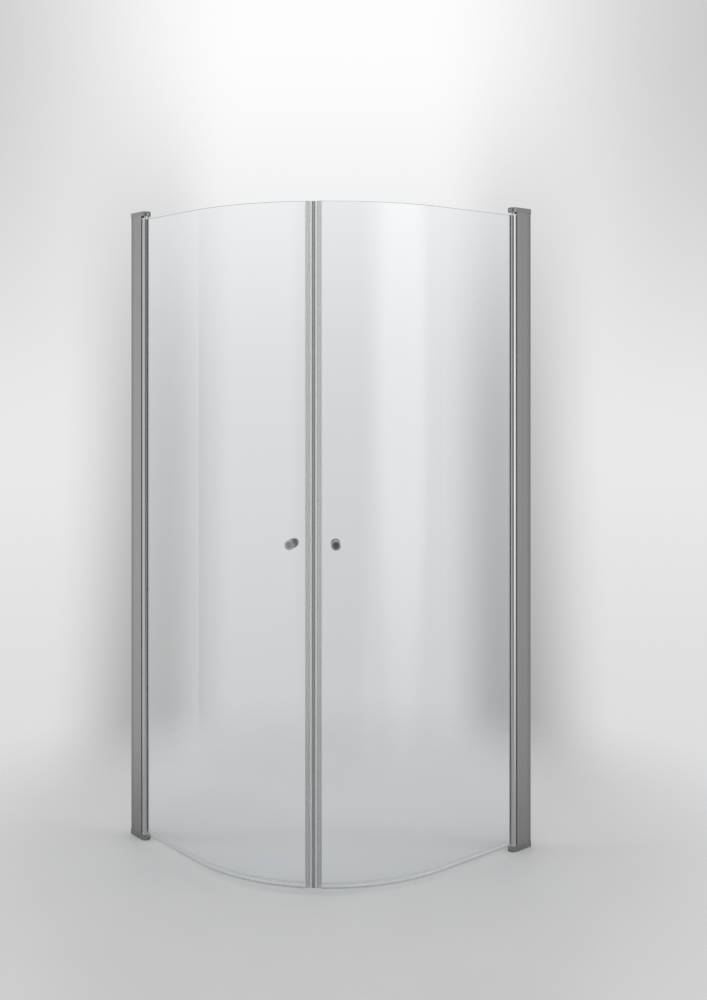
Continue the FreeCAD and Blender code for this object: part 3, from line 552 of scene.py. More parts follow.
# %% outlines
def arc(centre, radius, start, stop, steps):
    """Points on an arc, in degrees; both ends are in it."""
    angles = [math.radians(start + (stop - start) * n / steps) for n in range(steps + 1)]
    return [(centre[0] + radius * math.cos(a), centre[1] + radius * math.sin(a)) for a in angles]


def softened(outline, radius, steps=3, keep=40):
    """An outline with its corners rounded, where it turns by more than `keep` degrees."""
    rounded = []
    count = len(outline)
    for number in range(count):
        here = Vector(outline[number])
        before = Vector(outline[number - 1]) - here
        after = Vector(outline[(number + 1) % count]) - here
        corner = before.angle(after)
        if math.degrees(math.pi - corner) < keep:
            rounded.append(tuple(here))
            continue
        reach = min(radius / math.tan(corner / 2), before.length * 0.45, after.length * 0.45)
        begin = here + before.normalized() * reach
        finish = here + after.normalized() * reach
        for n in range(steps + 1):
            t = n / steps
            rounded.append(tuple(begin * (1 - t) ** 2 + here * 2 * t * (1 - t) + finish * t**2))
    return rounded


# %% prisms, turned pieces and strips
def skin(shape, rings):
    """Faces from each ring of corners to the next."""
    for low, high in zip(rings, rings[1:]):
        for n in range(len(low)):
            shape.faces.new((low[n - 1], low[n], high[n], high[n - 1]))


def prism(outlines, levels):
    """A prism from one outline and the holes in it, with a ring at each level."""
    shape = bmesh.new()
    stacks = []
    for outline in outlines:
        stacks.append([[shape.verts.new((x, y, z)) for x, y in outline] for z in levels])
    for stack in stacks:
        skin(shape, stack)
    loops = [[Vector((x, y, 0)) for x, y in outline] for outline in outlines]
    for level, order in ((0, 1), (-1, -1)):
        flat = [corner for stack in stacks for corner in stack[level]]
        for face in tessellate_polygon(loops):
            shape.faces.new([flat[n] for n in face][::order])
    return shape


def turned(steps, segments=64):
    """A piece turned round X from (along, radius) steps; the outline is closed."""
    shape = bmesh.new()
    turns = [2 * math.pi * n / segments for n in range(segments)]
    rings = []
    for along, radius in steps:
        ring = [(along, radius * math.cos(a), radius * math.sin(a)) for a in turns]
        rings.append([shape.verts.new(corner) for corner in ring])
    skin(shape, rings + rings[:1])
    return shape


def strip(section, stations):
    """A strip along X with the same closed section, in Y and Z, at each station."""
    shape = bmesh.new()
    rings = [[shape.verts.new((s, y, z)) for y, z in section] for s in stations]
    skin(shape, rings)
    loop = [Vector((y, z, 0)) for y, z in section]
    for face in tessellate_polygon([loop]):
        shape.faces.new([rings[0][n] for n in face])
        shape.faces.new([rings[-1][n] for n in face][::-1])
    return shape


# %% [markdown]
# ## Rules
# Two things here follow a rule, and Geometry Nodes hold a rule better than a
# finished mesh does. The bow takes a pane or seal that was drawn flat and wraps
# it onto the glass line: straight beside the profile, then round. The row
# repeats a screw at equal steps. Both end by making their instances real and
# setting the material, because an exported model keeps neither by itself.


# %% a rule's two ends
def new_rule(name, inputs):
    """An empty rule and the wire that brings its inputs in."""
    tree = bpy.data.node_groups.new(name, "GeometryNodeTree")
    tree.interface.new_socket("Geometry", in_out="INPUT", socket_type="NodeSocketGeometry")
    for label, kind, value in inputs:
        socket = tree.interface.new_socket(label, in_out="INPUT", socket_type=kind)
        if value is not None:
            socket.default_value = value
    tree.interface.new_socket("Finish", in_out="INPUT", socket_type="NodeSocketMaterial")
    tree.interface.new_socket("Geometry", in_out="OUTPUT", socket_type="NodeSocketGeometry")
    rule = Tree(tree)
    return rule, rule.node("NodeGroupInput")


def end_rule(rule, entry, shape):
    """Makes instances real, sets the material and ends the rule."""
    real = rule.node("GeometryNodeRealizeInstances", None, {"Geometry": shape})
    dressed = {"Geometry": real, "Material": entry.output("Finish")}
    finished = rule.node("GeometryNodeSetMaterial", None, dressed)
    rule.node("NodeGroupOutput", None, {"Geometry": finished})
    return rule.tree


# %% the bow and the row
def bow_rule():
    """Bends s, o, z onto the glass line: straight, then round."""
    floats = [("Bow starts", BOW_U), ("Bow radius", BOW_RADIUS), ("Bow middle", BOW_V)]
    rule, entry = new_rule("bow", [(name, "NodeSocketFloat", value * MM) for name, value in floats])
    start, radius = entry.output("Bow starts"), entry.output("Bow radius")
    s, o, z = rule.split(rule.node("GeometryNodeInputPosition"))
    angle = (s - start).math("MAXIMUM", 0.0) / radius
    reach = radius + o
    u = s.math("MINIMUM", start) + reach * angle.math("SINE")
    v = entry.output("Bow middle") - reach * angle.math("COSINE")
    bent = {"Geometry": entry, "Position": rule.join(u, v, z)}
    return end_rule(rule, entry, rule.node("GeometryNodeSetPosition", None, bent))


def row_rule():
    """Repeats the piece along a line of points."""
    rule, entry = new_rule("row", [("Count", "NodeSocketInt", 2), ("Step", "NodeSocketVector", None)])
    points = {"Count": entry.output("Count"), "Offset": entry.output("Step")}
    line = rule.node("GeometryNodeMeshLine", None, points)
    copies = rule.node("GeometryNodeInstanceOnPoints", None, {"Points": line, "Instance": entry})
    return end_rule(rule, entry, copies)


BOW, ROW = bow_rule(), row_rule()
print("rules:", BOW.name, ROW.name)

# %% [markdown]
# ## From shape to piece
# A shape is drawn once, for the left side, and may be cut by another shape or
# run through a rule. `settled` then keeps the plain mesh that its modifiers
# give, because a piece may not change once it rides on a body. `shown` sets it
# on both sides: the right side is the left one mirrored across the upright plane
# through the room's corner, so its faces are turned outwards again. Weighted
# normals keep flat faces flat beside their small roundings. Each piece then
# rides on its body, takes its slot's finish and stands for its CAD node, which
# is hidden.


# %% objects, rules and cuts
def as_object(name, shape):
    """An object from a shape drawn in millimetres."""
    mesh = bpy.data.meshes.new(name)
    bmesh.ops.remove_doubles(shape, verts=shape.verts, dist=1e-4)
    bmesh.ops.scale(shape, vec=(MM, MM, MM), verts=shape.verts)
    bmesh.ops.recalc_face_normals(shape, faces=shape.faces)
    shape.to_mesh(mesh)
    shape.free()
    made = bpy.data.objects.new(name, mesh)
    bpy.context.scene.collection.objects.link(made)
    return made


def joined(shape, other):
    """One shape from two that don't touch."""
    spare = bpy.data.meshes.new("spare")
    other.to_mesh(spare)
    other.free()
    shape.from_mesh(spare)
    bpy.data.meshes.remove(spare)
    return shape


def settled(thing):
    """Turns an object's modifiers into its plain mesh."""
    graph = bpy.context.evaluated_depsgraph_get()
    mesh = bpy.data.meshes.new_from_object(thing.evaluated_get(graph))
    thing.modifiers.clear()
    thing.data = mesh
    return thing


def ruled(thing, rule, **values):
    """Runs a rule on an object and keeps the mesh that comes out."""
    modifier = thing.modifiers.new(rule.name, "NODES")
    modifier.node_group = rule
    sockets = {item.name: item.identifier for item in rule.interface.items_tree if item.in_out == "INPUT"}
    for name, value in values.items():
        modifier[sockets[name]] = value
    return settled(thing)


def carved(thing, cutter):
    """Cuts one object out of another."""
    modifier = thing.modifiers.new("cut", "BOOLEAN")
    modifier.operation = "DIFFERENCE"
    modifier.solver = "EXACT"
    modifier.object = cutter
    settled(thing)
    bpy.data.objects.remove(cutter)
    return thing


# %% places
LEFT = Matrix.Translation((-ROOM_SIDE / 2 * MM, -ROOM_SIDE / 2 * MM, 0))
SWAP = Matrix(((0, -1, 0, 0), (-1, 0, 0, 0), (0, 0, 1, 0), (0, 0, 0, 1)))
SIDES = {"left": LEFT, "right": SWAP @ LEFT}


def stood(thing, u, v, z):
    """Moves a mesh in millimetres."""
    thing.data.transform(Matrix.Translation((u * MM, v * MM, z * MM)))
    return thing


def upright(shape):
    """Turns a piece that was turned round X so that X points up."""
    bmesh.ops.rotate(shape, matrix=Matrix.Rotation(-math.pi / 2, 3, "Y"), verts=shape.verts)
    return shape


def on_end(thing, top):
    """Sets a piece drawn upwards from z 0 on the profile's top or bottom end."""
    if top:
        thing.data.transform(Matrix.Translation((0, 0, PROFILE_TOP * MM)))
    else:
        over = Matrix.Translation((0, PROFILE_DEPTH * MM, PROFILE_BOTTOM * MM))
        thing.data.transform(over @ Matrix.Rotation(math.pi, 4, "X"))
    return thing


# %% pieces on both sides
def outwards(mesh):
    """Merges a mesh's doubles and points its faces outwards."""
    shape = bmesh.new()
    shape.from_mesh(mesh)
    bmesh.ops.remove_doubles(shape, verts=shape.verts, dist=1e-7)
    bmesh.ops.recalc_face_normals(shape, faces=shape.faces)
    shape.to_mesh(mesh)
    shape.free()


def shown(part, thing, finish, moving, angle=35):
    """Sets a finished left hand object on both sides, for its CAD nodes."""
    for side, matrix in SIDES.items():
        mesh = thing.data.copy()
        mesh.transform(matrix)
        outwards(mesh)
        mesh.materials.clear()
        mesh.materials.append(finishes[finish])
        mesh.shade_smooth()
        mesh.set_sharp_from_angle(angle=math.radians(angle))
        piece = bpy.data.objects.new(f"{side}_{part}_piece", mesh)
        bpy.context.scene.collection.objects.link(piece)
        weigh = piece.modifiers.new("weigh", "WEIGHTED_NORMAL")
        weigh.keep_sharp = True
        settled(piece)
        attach(piece, f"{side}_door" if moving else "frame")
        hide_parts(f"{side}_{part}")
    bpy.data.objects.remove(thing)
    print(f"{part}: {len(piece.data.polygons)} faces on each side")


# %% [markdown]
# ## Cover profile
# This box section slides over the wall channel and hides it. Its inner end is a
# hollow round seat in which the hinge column turns. In the picture the long
# edges of the seat and of the lips matter most: each is a thin bright or dark
# line over the whole height, so the section is softened a little at every corner.

# %% cover profile
COVER_WALL, COVER_START, PARTITION_U = 1.6, 17.5, 42
SEAT_RADIUS = COLUMN_RADIUS + 1.3
lip_turn = math.degrees(math.acos((LIP_U - HINGE_U) / SEAT_RADIUS))
seat = arc((HINGE_U, MIDDLE_V), SEAT_RADIUS, -lip_turn, lip_turn - 360, 40)
inside = PROFILE_DEPTH - COVER_WALL
walls = [(COVER_START, 0), (LIP_U, 0), *seat, (LIP_U, PROFILE_DEPTH)]
walls += [(COVER_START, PROFILE_DEPTH), (COVER_START, inside), (PARTITION_U, inside)]
walls += [(PARTITION_U, COVER_WALL), (COVER_START, COVER_WALL)]
cover = as_object("cover", prism([softened(walls, 0.4)], (PROFILE_BOTTOM, PROFILE_TOP)))
shown("cover_profile", cover, "profile", moving=False)

# %% [markdown]
# ## End caps
# A cap closes the profile at the top and another stands on the floor. Its nose
# reaches over the hinge column and holds the hinge pin, with a set screw in
# front. The rim is rounded in five steps, and more strongly round the tip of the
# nose. A bevel modifier could round the rim, but not by an amount that changes
# along it, so the cap is drawn ring by ring. Holes are cut out afterwards.

# %% a cap's block
CAP_EDGE = 2.5
EDGE_STEPS = 5
NOSE_ROUNDING = 0.9
NOSE_STEPS = 36


def cap_ring(inset, z, drop):
    """One level of a cap; round the tip of its nose the rim is rounded more."""
    ring = [(0, inset, z - drop)]
    for n in range(NOSE_STEPS + 1):
        turn = math.radians(-90 + 180 * n / NOSE_STEPS)
        more = 1 + NOSE_ROUNDING * math.cos(turn)
        reach = MIDDLE_V - inset * more
        u = HINGE_U + reach * math.cos(turn)
        v = MIDDLE_V + reach * math.sin(turn)
        ring.append((u, v, z - drop * more))
    return ring + [(0, PROFILE_DEPTH - inset, z - drop)]


def cap_block(height):
    """A solid cap from its outline, with a rounded upper rim."""
    shape = bmesh.new()
    turns = [math.pi / 2 * n / EDGE_STEPS for n in range(EDGE_STEPS + 1)]
    layers = [(0, 0, 0)]
    layers += [(CAP_EDGE * (1 - math.cos(a)), height, CAP_EDGE * (1 - math.sin(a))) for a in turns]
    rings = [[shape.verts.new(corner) for corner in cap_ring(*layer)] for layer in layers]
    skin(shape, rings)
    shape.faces.new(rings[0][::-1])
    shape.faces.new(rings[-1])
    return shape


# %% [markdown]
# ### Screws
# Each cap is held by two countersunk screws with a cross recess, and the pin by
# a set screw with a hexagon socket. They are a few pixels wide in the picture,
# but a screw without its recess looks like a rivet from close by. The recess is
# a small prism, cut out of the turned head.

# %% cap screws and set screws
HEAD_RADIUS, HEAD_RIM, HEAD_HEIGHT = 3.0, 0.15, 1.45
SHANK_RADIUS, SHANK_LENGTH = 1.65, 12
SET_RADIUS, SET_START, SET_TOP = 3, 4, 13.6
KEY_HALF, KEY_DEPTH = 1.5, 2.5
OVERCUT = 1


def cross_recess(width, reach, depth):
    """A cross shaped cutter, upright on z 0, that goes down to a depth."""
    arm, half = reach / 2, width / 2
    corners = [(arm, -half), (arm, half), (half, half), (half, arm), (-half, arm), (-half, half)]
    corners += [(-arm, half), (-arm, -half), (-half, -half), (-half, -arm), (half, -arm), (half, -half)]
    return prism([corners], (-depth, OVERCUT))


def sunk_screw(height):
    """A countersunk screw whose head ends at a height over z 0."""
    steps = [(height, 0), (height, HEAD_RADIUS), (height - HEAD_RIM, HEAD_RADIUS - HEAD_RIM)]
    steps += [(height - HEAD_HEIGHT, SHANK_RADIUS)]
    steps += [(SHANK_RADIUS - SHANK_LENGTH, SHANK_RADIUS), (-SHANK_LENGTH, 0)]
    head = as_object("sunk_screw", upright(turned(steps)))
    recess = as_object("recess", cross_recess(0.8, 3.4, 1.6))
    return carved(head, stood(recess, 0, 0, height))


def set_screw():
    """A set screw with a hexagon socket, along X from the hinge pin outwards."""
    steps = [(SET_START, 0), (SET_START, SET_RADIUS - 0.4), (SET_START + 0.4, SET_RADIUS)]
    steps += [(SET_TOP - 0.6, SET_RADIUS), (SET_TOP, SET_RADIUS - 0.6), (SET_TOP, 0)]
    body = as_object("set_screw", turned(steps))
    hexagon = arc((0, 0), KEY_HALF / math.cos(math.pi / 6), 0, 300, 5)
    socket = prism([hexagon], (-KEY_DEPTH, OVERCUT))
    bmesh.ops.rotate(socket, matrix=Matrix.Rotation(math.pi / 2, 3, "Y"), verts=socket.verts)
    return carved(body, stood(as_object("socket", socket), SET_TOP, 0, 0))


# %% holes in a cap
PORT_U, PORT_INSET, PORT_RADIUS, PORT_SINK = 47.2, 5.8, 1.7, 1.4
SET_BORE, SET_BORE_START, SINK_START, CUTTER_END = 3.05, 3, 13.3, 20
PIN_RADIUS, PIN_BORE, PIN_IN_CAP = 4, 4.05, 11


def screw_cutter(height):
    """Cuts a countersunk hole for a cap screw."""
    steps = [(height + OVERCUT, 0), (height + OVERCUT, PORT_RADIUS + PORT_SINK + OVERCUT)]
    steps += [(height - PORT_SINK, PORT_RADIUS), (-OVERCUT, PORT_RADIUS), (-OVERCUT, 0)]
    return as_object("sink", upright(turned(steps, 48)))


def set_screw_cutter():
    """Cuts the bore for a set screw and the sink in front of it."""
    steps = [(SET_BORE_START, 0), (SET_BORE_START, SET_BORE), (SINK_START, SET_BORE)]
    steps += [(SINK_START + SINK_RADIUS - SET_BORE, SINK_RADIUS), (CUTTER_END, SINK_RADIUS), (CUTTER_END, 0)]
    return as_object("bore", turned(steps, 48))


def pin_cutter():
    """Cuts the hole that the hinge pin sits in."""
    steps = [(-OVERCUT, 0), (-OVERCUT, PIN_BORE), (PIN_IN_CAP, PIN_BORE), (PIN_IN_CAP, 0)]
    return as_object("pin_bore", upright(turned(steps, 48)))


# %% caps with their screws
cap_heights = {"top": in_mm(cad_box[1][2]) - PROFILE_TOP, "bottom": PROFILE_BOTTOM}
for end, height in cap_heights.items():
    cap = as_object("cap", cap_block(height))
    for port_v in (PORT_INSET, PROFILE_DEPTH - PORT_INSET):
        carved(cap, stood(screw_cutter(height), PORT_U, port_v, 0))
    carved(cap, stood(set_screw_cutter(), HINGE_U, MIDDLE_V, SCREW_RISE))
    carved(cap, stood(pin_cutter(), HINGE_U, MIDDLE_V, 0))
    shown(f"{end}_cap", on_end(cap, end == "top"), "cap", moving=False, angle=30)
    screws = stood(sunk_screw(height), PORT_U, PORT_INSET, 0)
    step = Vector((0, PROFILE_DEPTH - 2 * PORT_INSET, 0)) * MM
    ruled(screws, ROW, Count=2, Step=step, Finish=finishes["screw"])
    shown(f"{end}_cap_screws", on_end(screws, end == "top"), "screw", moving=False, angle=30)
    small = stood(set_screw(), HINGE_U, MIDDLE_V, SCREW_RISE)
    shown(f"{end}_pin_screw", on_end(small, end == "top"), "set_screw", moving=False, angle=30)

# %% [markdown]
# ### Lock screws
# Three pan head screws on the inner face fix the cover profile to the wall
# channel once it is level. One is drawn and the row rule repeats it upwards.

# %% lock screws
LOCK_U, LOCK_RISE, LOCK_SPAN, LOCK_COUNT = 30, 283, 1390, 3
PAN_HEIGHT = 2
pan = [(PAN_HEIGHT, 0), (PAN_HEIGHT, 2.0), (1.85, 2.6), (1.4, 3.15), (0.9, 3.4), (0, 3.4)]
shank = [(0, 1.75), (-6.2, 1.75), (-8, 0)]
lock = as_object("lock", upright(turned(pan + shank, 48)))
carved(lock, stood(as_object("recess", cross_recess(0.9, 3.6, 1.3)), 0, 0, PAN_HEIGHT))
lock.data.transform(Matrix.Rotation(-math.pi / 2, 4, "X"))
stood(lock, LOCK_U, PROFILE_DEPTH, PROFILE_BOTTOM + LOCK_RISE)
step = Vector((0, 0, LOCK_SPAN / (LOCK_COUNT - 1))) * MM
ruled(lock, ROW, Count=LOCK_COUNT, Step=step, Finish=finishes["screw"])
shown("lock_screws", lock, "screw", moving=False, angle=30)

# %% [markdown]
# ## Hinge
# A ground steel pin stands in each cap and a flanged plastic bush in each end of
# the column, so a door turns on two pins and lifts off when the top one is out.
# The column stands on a thrust washer. All of these are lathe work, drawn as
# turned pieces from the profile's end outwards, and `on_end` sets them at the
# top or the bottom.

# %% pins
PIN_BEVEL, PIN_IN_BUSH = 0.8, 30
COLLAR_RADIUS, COLLAR_HEIGHT, COLLAR_BEVEL = 7, 5, 0.4
gaps = {"top": PROFILE_TOP - COLUMN_TOP, "bottom": COLUMN_BOTTOM - PROFILE_BOTTOM}
in_cap = [(PIN_IN_CAP, 0), (PIN_IN_CAP, PIN_RADIUS - PIN_BEVEL), (PIN_IN_CAP - PIN_BEVEL, PIN_RADIUS)]
top_collar = [(0, PIN_RADIUS), (0, COLLAR_RADIUS), (COLLAR_BEVEL - COLLAR_HEIGHT, COLLAR_RADIUS)]
top_collar += [(-COLLAR_HEIGHT, COLLAR_RADIUS - COLLAR_BEVEL), (-COLLAR_HEIGHT, PIN_RADIUS)]
for end, collar in (("top", top_collar), ("bottom", [])):
    foot = -gaps[end] - PIN_IN_BUSH
    in_bush = [(foot + PIN_BEVEL, PIN_RADIUS), (foot, PIN_RADIUS - PIN_BEVEL), (foot, 0)]
    pin = as_object("pin", upright(turned(in_cap + collar + in_bush)))
    shown(f"{end}_pin", on_end(stood(pin, HINGE_U, MIDDLE_V, 0), end == "top"), "pin", moving=False)

# %% washer and bushes
WASHER_RADIUS, WASHER_HEIGHT, WASHER_BEVEL = 11, 1, 0.2
BUSH_RADIUS, BUSH_LENGTH, FLANGE_BEVEL = 5.45, 40, 0.4
section = [(0, PIN_BORE), (0, WASHER_RADIUS), (WASHER_HEIGHT - WASHER_BEVEL, WASHER_RADIUS)]
section += [(WASHER_HEIGHT, WASHER_RADIUS - WASHER_BEVEL), (WASHER_HEIGHT, PIN_BORE)]
washer = as_object("washer", upright(turned(section, 96)))
shown("thrust_washer", stood(washer, HINGE_U, MIDDLE_V, PROFILE_BOTTOM), "bush", moving=False)

for end, flange in (("top", 3), ("bottom", 1.9)):
    root = -gaps[end]
    face = root + flange
    section = [(face, PIN_BORE), (face, COLUMN_RADIUS - FLANGE_BEVEL), (face - FLANGE_BEVEL, COLUMN_RADIUS)]
    section += [(root, COLUMN_RADIUS), (root, BUSH_RADIUS)]
    section += [(root - BUSH_LENGTH, BUSH_RADIUS), (root - BUSH_LENGTH, PIN_BORE)]
    bush = as_object("bush", upright(turned(section, 96)))
    shown(f"{end}_bush", on_end(stood(bush, HINGE_U, MIDDLE_V, 0), end == "top"), "bush", moving=True)

# %% [markdown]
# ## Hinge column
# A round extrusion with a bore for the bushes, three hollow chambers that save
# metal, and the slot that grips the glass. It is polished, so its roundness
# shows as one long highlight, and facets would break that up: the rod has an arc
# of 110 steps. Two beaded rubber strips press the glass in the slot.

# %% hinge column
SLOT_HALF, SLOT_FLOOR, SLOT_RELIEF = 4.2, 6.5, 0.5
COLUMN_BORE = 5.5
CHAMBER_INNER, CHAMBER_OUTER, CHAMBER_HALF_TURN = 7.3, 10.7, 30
slot_turn = math.degrees(math.asin(SLOT_HALF / COLUMN_RADIUS))
rod = arc((0, 0), COLUMN_RADIUS, slot_turn, 360 - slot_turn, 110)
rod = softened([*rod, (SLOT_FLOOR, -SLOT_HALF), (SLOT_FLOOR, SLOT_HALF)], 0.4)
holes = [arc((0, 0), COLUMN_BORE, 0, 354, 59)]
for turn in (90, 180, 270):
    start, stop = turn - CHAMBER_HALF_TURN, turn + CHAMBER_HALF_TURN
    outer = arc((0, 0), CHAMBER_OUTER, start, stop, 12)
    holes.append(outer + arc((0, 0), CHAMBER_INNER, stop, start, 12))
column = as_object("column", prism([rod, *holes], (COLUMN_BOTTOM, COLUMN_TOP)))
shown("column", stood(column, HINGE_U, MIDDLE_V, 0), "column", moving=True)

# %% glazing gasket
BEAD_START, BEAD_RADIUS = 11.9, 1.8
GLASS_INSET = SLOT_FLOOR + SLOT_RELIEF
bead = arc((BEAD_START, GLASS_HALF), BEAD_RADIUS, 0, 90, 10)
lip = [(GLASS_INSET, GLASS_HALF), *bead, (BEAD_START, SLOT_HALF), (GLASS_INSET, SLOT_HALF)]
levels = (GLASS_BOTTOM, COLUMN_TOP)
pair = joined(prism([lip], levels), prism([[(x, -y) for x, y in lip]], levels))
shown("glazing_gasket", stood(as_object("gasket", pair), HINGE_U, MIDDLE_V, 0), "gasket", moving=True)

# %% [markdown]
# ## Bowed glass
# A pane is bent while hot: straight for its first stretch, then on the bow's
# radius up to the closing seal. It is drawn flat, in `s`, `o` and `z`, with a
# station every 8 mm where it will be round, and the bow rule bends it, so both
# faces stay exactly parallel. The hole for the knob is drilled first, and a
# bevel gives every edge the ground arris that makes it glint.


# %% bowed glass
STATION_PITCH = 8
ARRIS = 0.6
CHANNEL_FLOOR, EDGE_PLAY = 9.8, 0.2
STUD_HOLE = 6
KNOB_PLACE = 63
knob_low, knob_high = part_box("left_outer_knob")
KNOB_HEIGHT = in_mm((knob_low.z + knob_high.z) / 2)


def stations(start, stop):
    """Places along the glass, close together where it is bowed."""
    flat = [start, BOW_U] if start < BOW_U else [start]
    count = max(1, round((stop - flat[-1]) / STATION_PITCH))
    return flat + [flat[-1] + (stop - flat[-1]) * n / count for n in range(1, count + 1)]


def bowed(thing, finish):
    """Bends a flat piece onto the glass line."""
    return ruled(thing, BOW, Finish=finishes[finish])


rim = [(-GLASS_HALF, GLASS_BOTTOM), (GLASS_HALF, GLASS_BOTTOM)]
rim += [(GLASS_HALF, COLUMN_TOP), (-GLASS_HALF, COLUMN_TOP)]
reach = stations(HINGE_U + GLASS_INSET, MEETING_S - CHANNEL_FLOOR - EDGE_PLAY)
pane = as_object("pane", strip(rim, reach))
drill = turned([(-9, 0), (-9, STUD_HOLE), (9, STUD_HOLE), (9, 0)])
bmesh.ops.rotate(drill, matrix=Matrix.Rotation(math.pi / 2, 3, "Z"), verts=drill.verts)
carved(pane, stood(as_object("drill", drill), MEETING_S - KNOB_PLACE, 0, KNOB_HEIGHT))
arris = pane.modifiers.new("arris", "BEVEL")
arris.width = ARRIS * MM
arris.segments = 1
arris.angle_limit = math.radians(60)
shown("glass", bowed(settled(pane), "glass"), "glass", moving=True, angle=25)

# %% [markdown]
# ## Closing seals
# Where the doors meet, each pane wears a clear extrusion. Two legs grip the
# glass, a hollow neck gives way, and a tapered nose holds the magnet strip that
# pulls the doors shut. The section is drawn from the meeting plane backwards,
# with its hollows as holes in the prism, so the walls are as thin as real ones.

# %% magnetic closing seal
TIP, TIP_RADIUS, NOSE_HALF, NOSE_END = 0.4, 1.2, 2.6, 5
NOSE_SKIN, MAGNET_PLAY = 0.5, 0.05
NECK_HALF, NECK_SKIN = 3.2, 0.8
LEG_IN, LEG_OUT = GLASS_HALF + 0.1, GLASS_HALF + 1.2


def on_seal(points):
    """Points measured back from the meeting plane, as s and o."""
    return [(MEETING_S - away, offset) for away, offset in points]


def nose(skin_thickness, end):
    """The tapered nose, or its hollow inside a skin, from one root round its tip."""
    tip_radius = TIP_RADIUS - skin_thickness
    half = NOSE_HALF - skin_thickness
    centre = TIP + TIP_RADIUS
    tip = [(centre - x, y) for x, y in arc((0, 0), tip_radius, -90, 90, 12)]
    return [(end, -half), *tip, (end, half)]


side = [(NOSE_END, NECK_HALF), (NECK_END, NECK_HALF), (NECK_END, LEG_OUT), (LEG_END, LEG_OUT)]
side += [(LEG_END, LEG_IN), (CHANNEL_FLOOR, LEG_IN)]
seal = nose(0, NOSE_END) + side + [(away, -offset) for away, offset in reversed(side)]
neck_start, neck_stop, neck_half = NOSE_END + NECK_SKIN, NECK_END - NECK_SKIN, NECK_HALF - NECK_SKIN
hollow = [(neck_start, neck_half), (neck_stop, neck_half), (neck_stop, -neck_half), (neck_start, -neck_half)]
section = [softened(on_seal(seal), 0.3, keep=30), on_seal(hollow), on_seal(nose(NOSE_SKIN, NOSE_END))]
closing = as_object("closing", prism(section, (COLUMN_BOTTOM, COLUMN_TOP)))
shown("magnet_seal", bowed(closing, "clear_seal"), "clear_seal", moving=True)

# %% magnet strip
strip_section = nose(NOSE_SKIN + MAGNET_PLAY, NOSE_END - MAGNET_PLAY)
magnet = as_object("magnet", prism([on_seal(strip_section)], (COLUMN_BOTTOM, COLUMN_TOP)))
shown("magnet_strip", bowed(magnet, "magnet"), "magnet", moving=True)

# %% [markdown]
# ## Bottom seal
# A clear strip clips over the lower edge of each pane. Under it hang an upright
# fin and a drip lip that leans outwards, to keep spray and drips in. Its section
# is the same all along the bow, so it is a strip, bent by the same rule as the
# glass.

# %% bottom seal
FLOOR_TOP, FLOOR = 27.3, 26.2
FIN_HALF, LIP_SPREAD, LIP_THICKNESS = 0.6, 2.2, 1.1
section = [(LEG_OUT, LEG_TOP), (LEG_IN, LEG_TOP), (LEG_IN, FLOOR_TOP), (-LEG_IN, FLOOR_TOP)]
section += [(-LEG_IN, LEG_TOP), (-LEG_OUT, LEG_TOP), (-LEG_OUT, FLOOR)]
section += [(-FIN_HALF, FLOOR), (-FIN_HALF, COLUMN_BOTTOM)]
section += [(FIN_HALF, COLUMN_BOTTOM), (FIN_HALF, FLOOR), (LEG_OUT - LIP_THICKNESS, FLOOR)]
section += [(LEG_OUT - LIP_THICKNESS + LIP_SPREAD, COLUMN_BOTTOM), (LEG_OUT + LIP_SPREAD, COLUMN_BOTTOM)]
section += [(LEG_OUT, FLOOR)]
reach = stations(HINGE_U + COLUMN_RADIUS + 2.6, MEETING_S - LEG_END - 0.5)
wiper = as_object("wiper", strip(softened(section, 0.3, keep=25), reach))
shown("bottom_seal", bowed(wiper, "clear_seal"), "clear_seal", moving=True)

# %% [markdown]
# ## Knobs
# Each door has a turned knob outside and its twin inside. A stud joins them
# through the glass, and two clear grommets keep metal off it. The outline is the
# one a lathe would follow: foot, groove, rounded front edge and a shallow dish
# with a soft rim. All four are drawn on X and set square on the bow at the
# knobs' place.

# %% the lathe's outlines
knob_foot = [(1, 3.05), (1, 11.9), (1.3, 12.2), (2.7, 12.2), (3, 12.3), (4.2, 13.45), (4.5, 13.6)]
knob_groove = [(11.4, 13.6), (11.6, 13.5), (12.5, 12.7), (13.4, 13.5), (13.6, 13.6)]
knob_edge = [(27, 13.6), (27.8, 13.44), (28.4, 13.0), (28.8, 12.4), (KNOB_LENGTH, 11.6)]
knob_dish = [(KNOB_LENGTH, 9.6), (28.9, 9.4), (28.2, 8.7), (28, 8.4), (28, 0)]
knob_bore = [(17, 0), (15, 3.05)]
knob_outline = knob_foot + knob_groove + knob_edge + knob_dish + knob_bore
grommet_outline = [(0.1, 3.1), (0.1, 5.9), (3.0, 5.9), (3.0, 11.3)]
grommet_outline += [(3.2, 11.5), (3.8, 11.5), (4, 11.3), (4, 3.1)]
stud_outline = [(-18, 0), (-18, 2.4), (-17.4, 3), (17.4, 3), (18, 2.4), (18, 0)]

# %% knobs, stud and grommets
KNOB_TURN = -(math.pi / 4 + KNOB_PLACE / BOW_RADIUS)
bow_centre = Vector((BOW_U, BOW_V, 0))
outward_way = Vector((math.cos(KNOB_TURN), math.sin(KNOB_TURN), 0))


def on_glass(thing, offset, outward=True):
    """Sets a piece turned round X square on the glass at the knobs' place."""
    turn = KNOB_TURN if outward else KNOB_TURN + math.pi
    thing.data.transform(Matrix.Rotation(turn, 4, "Z"))
    return stood(thing, *(bow_centre + outward_way * (BOW_RADIUS + offset)).xy, KNOB_HEIGHT)


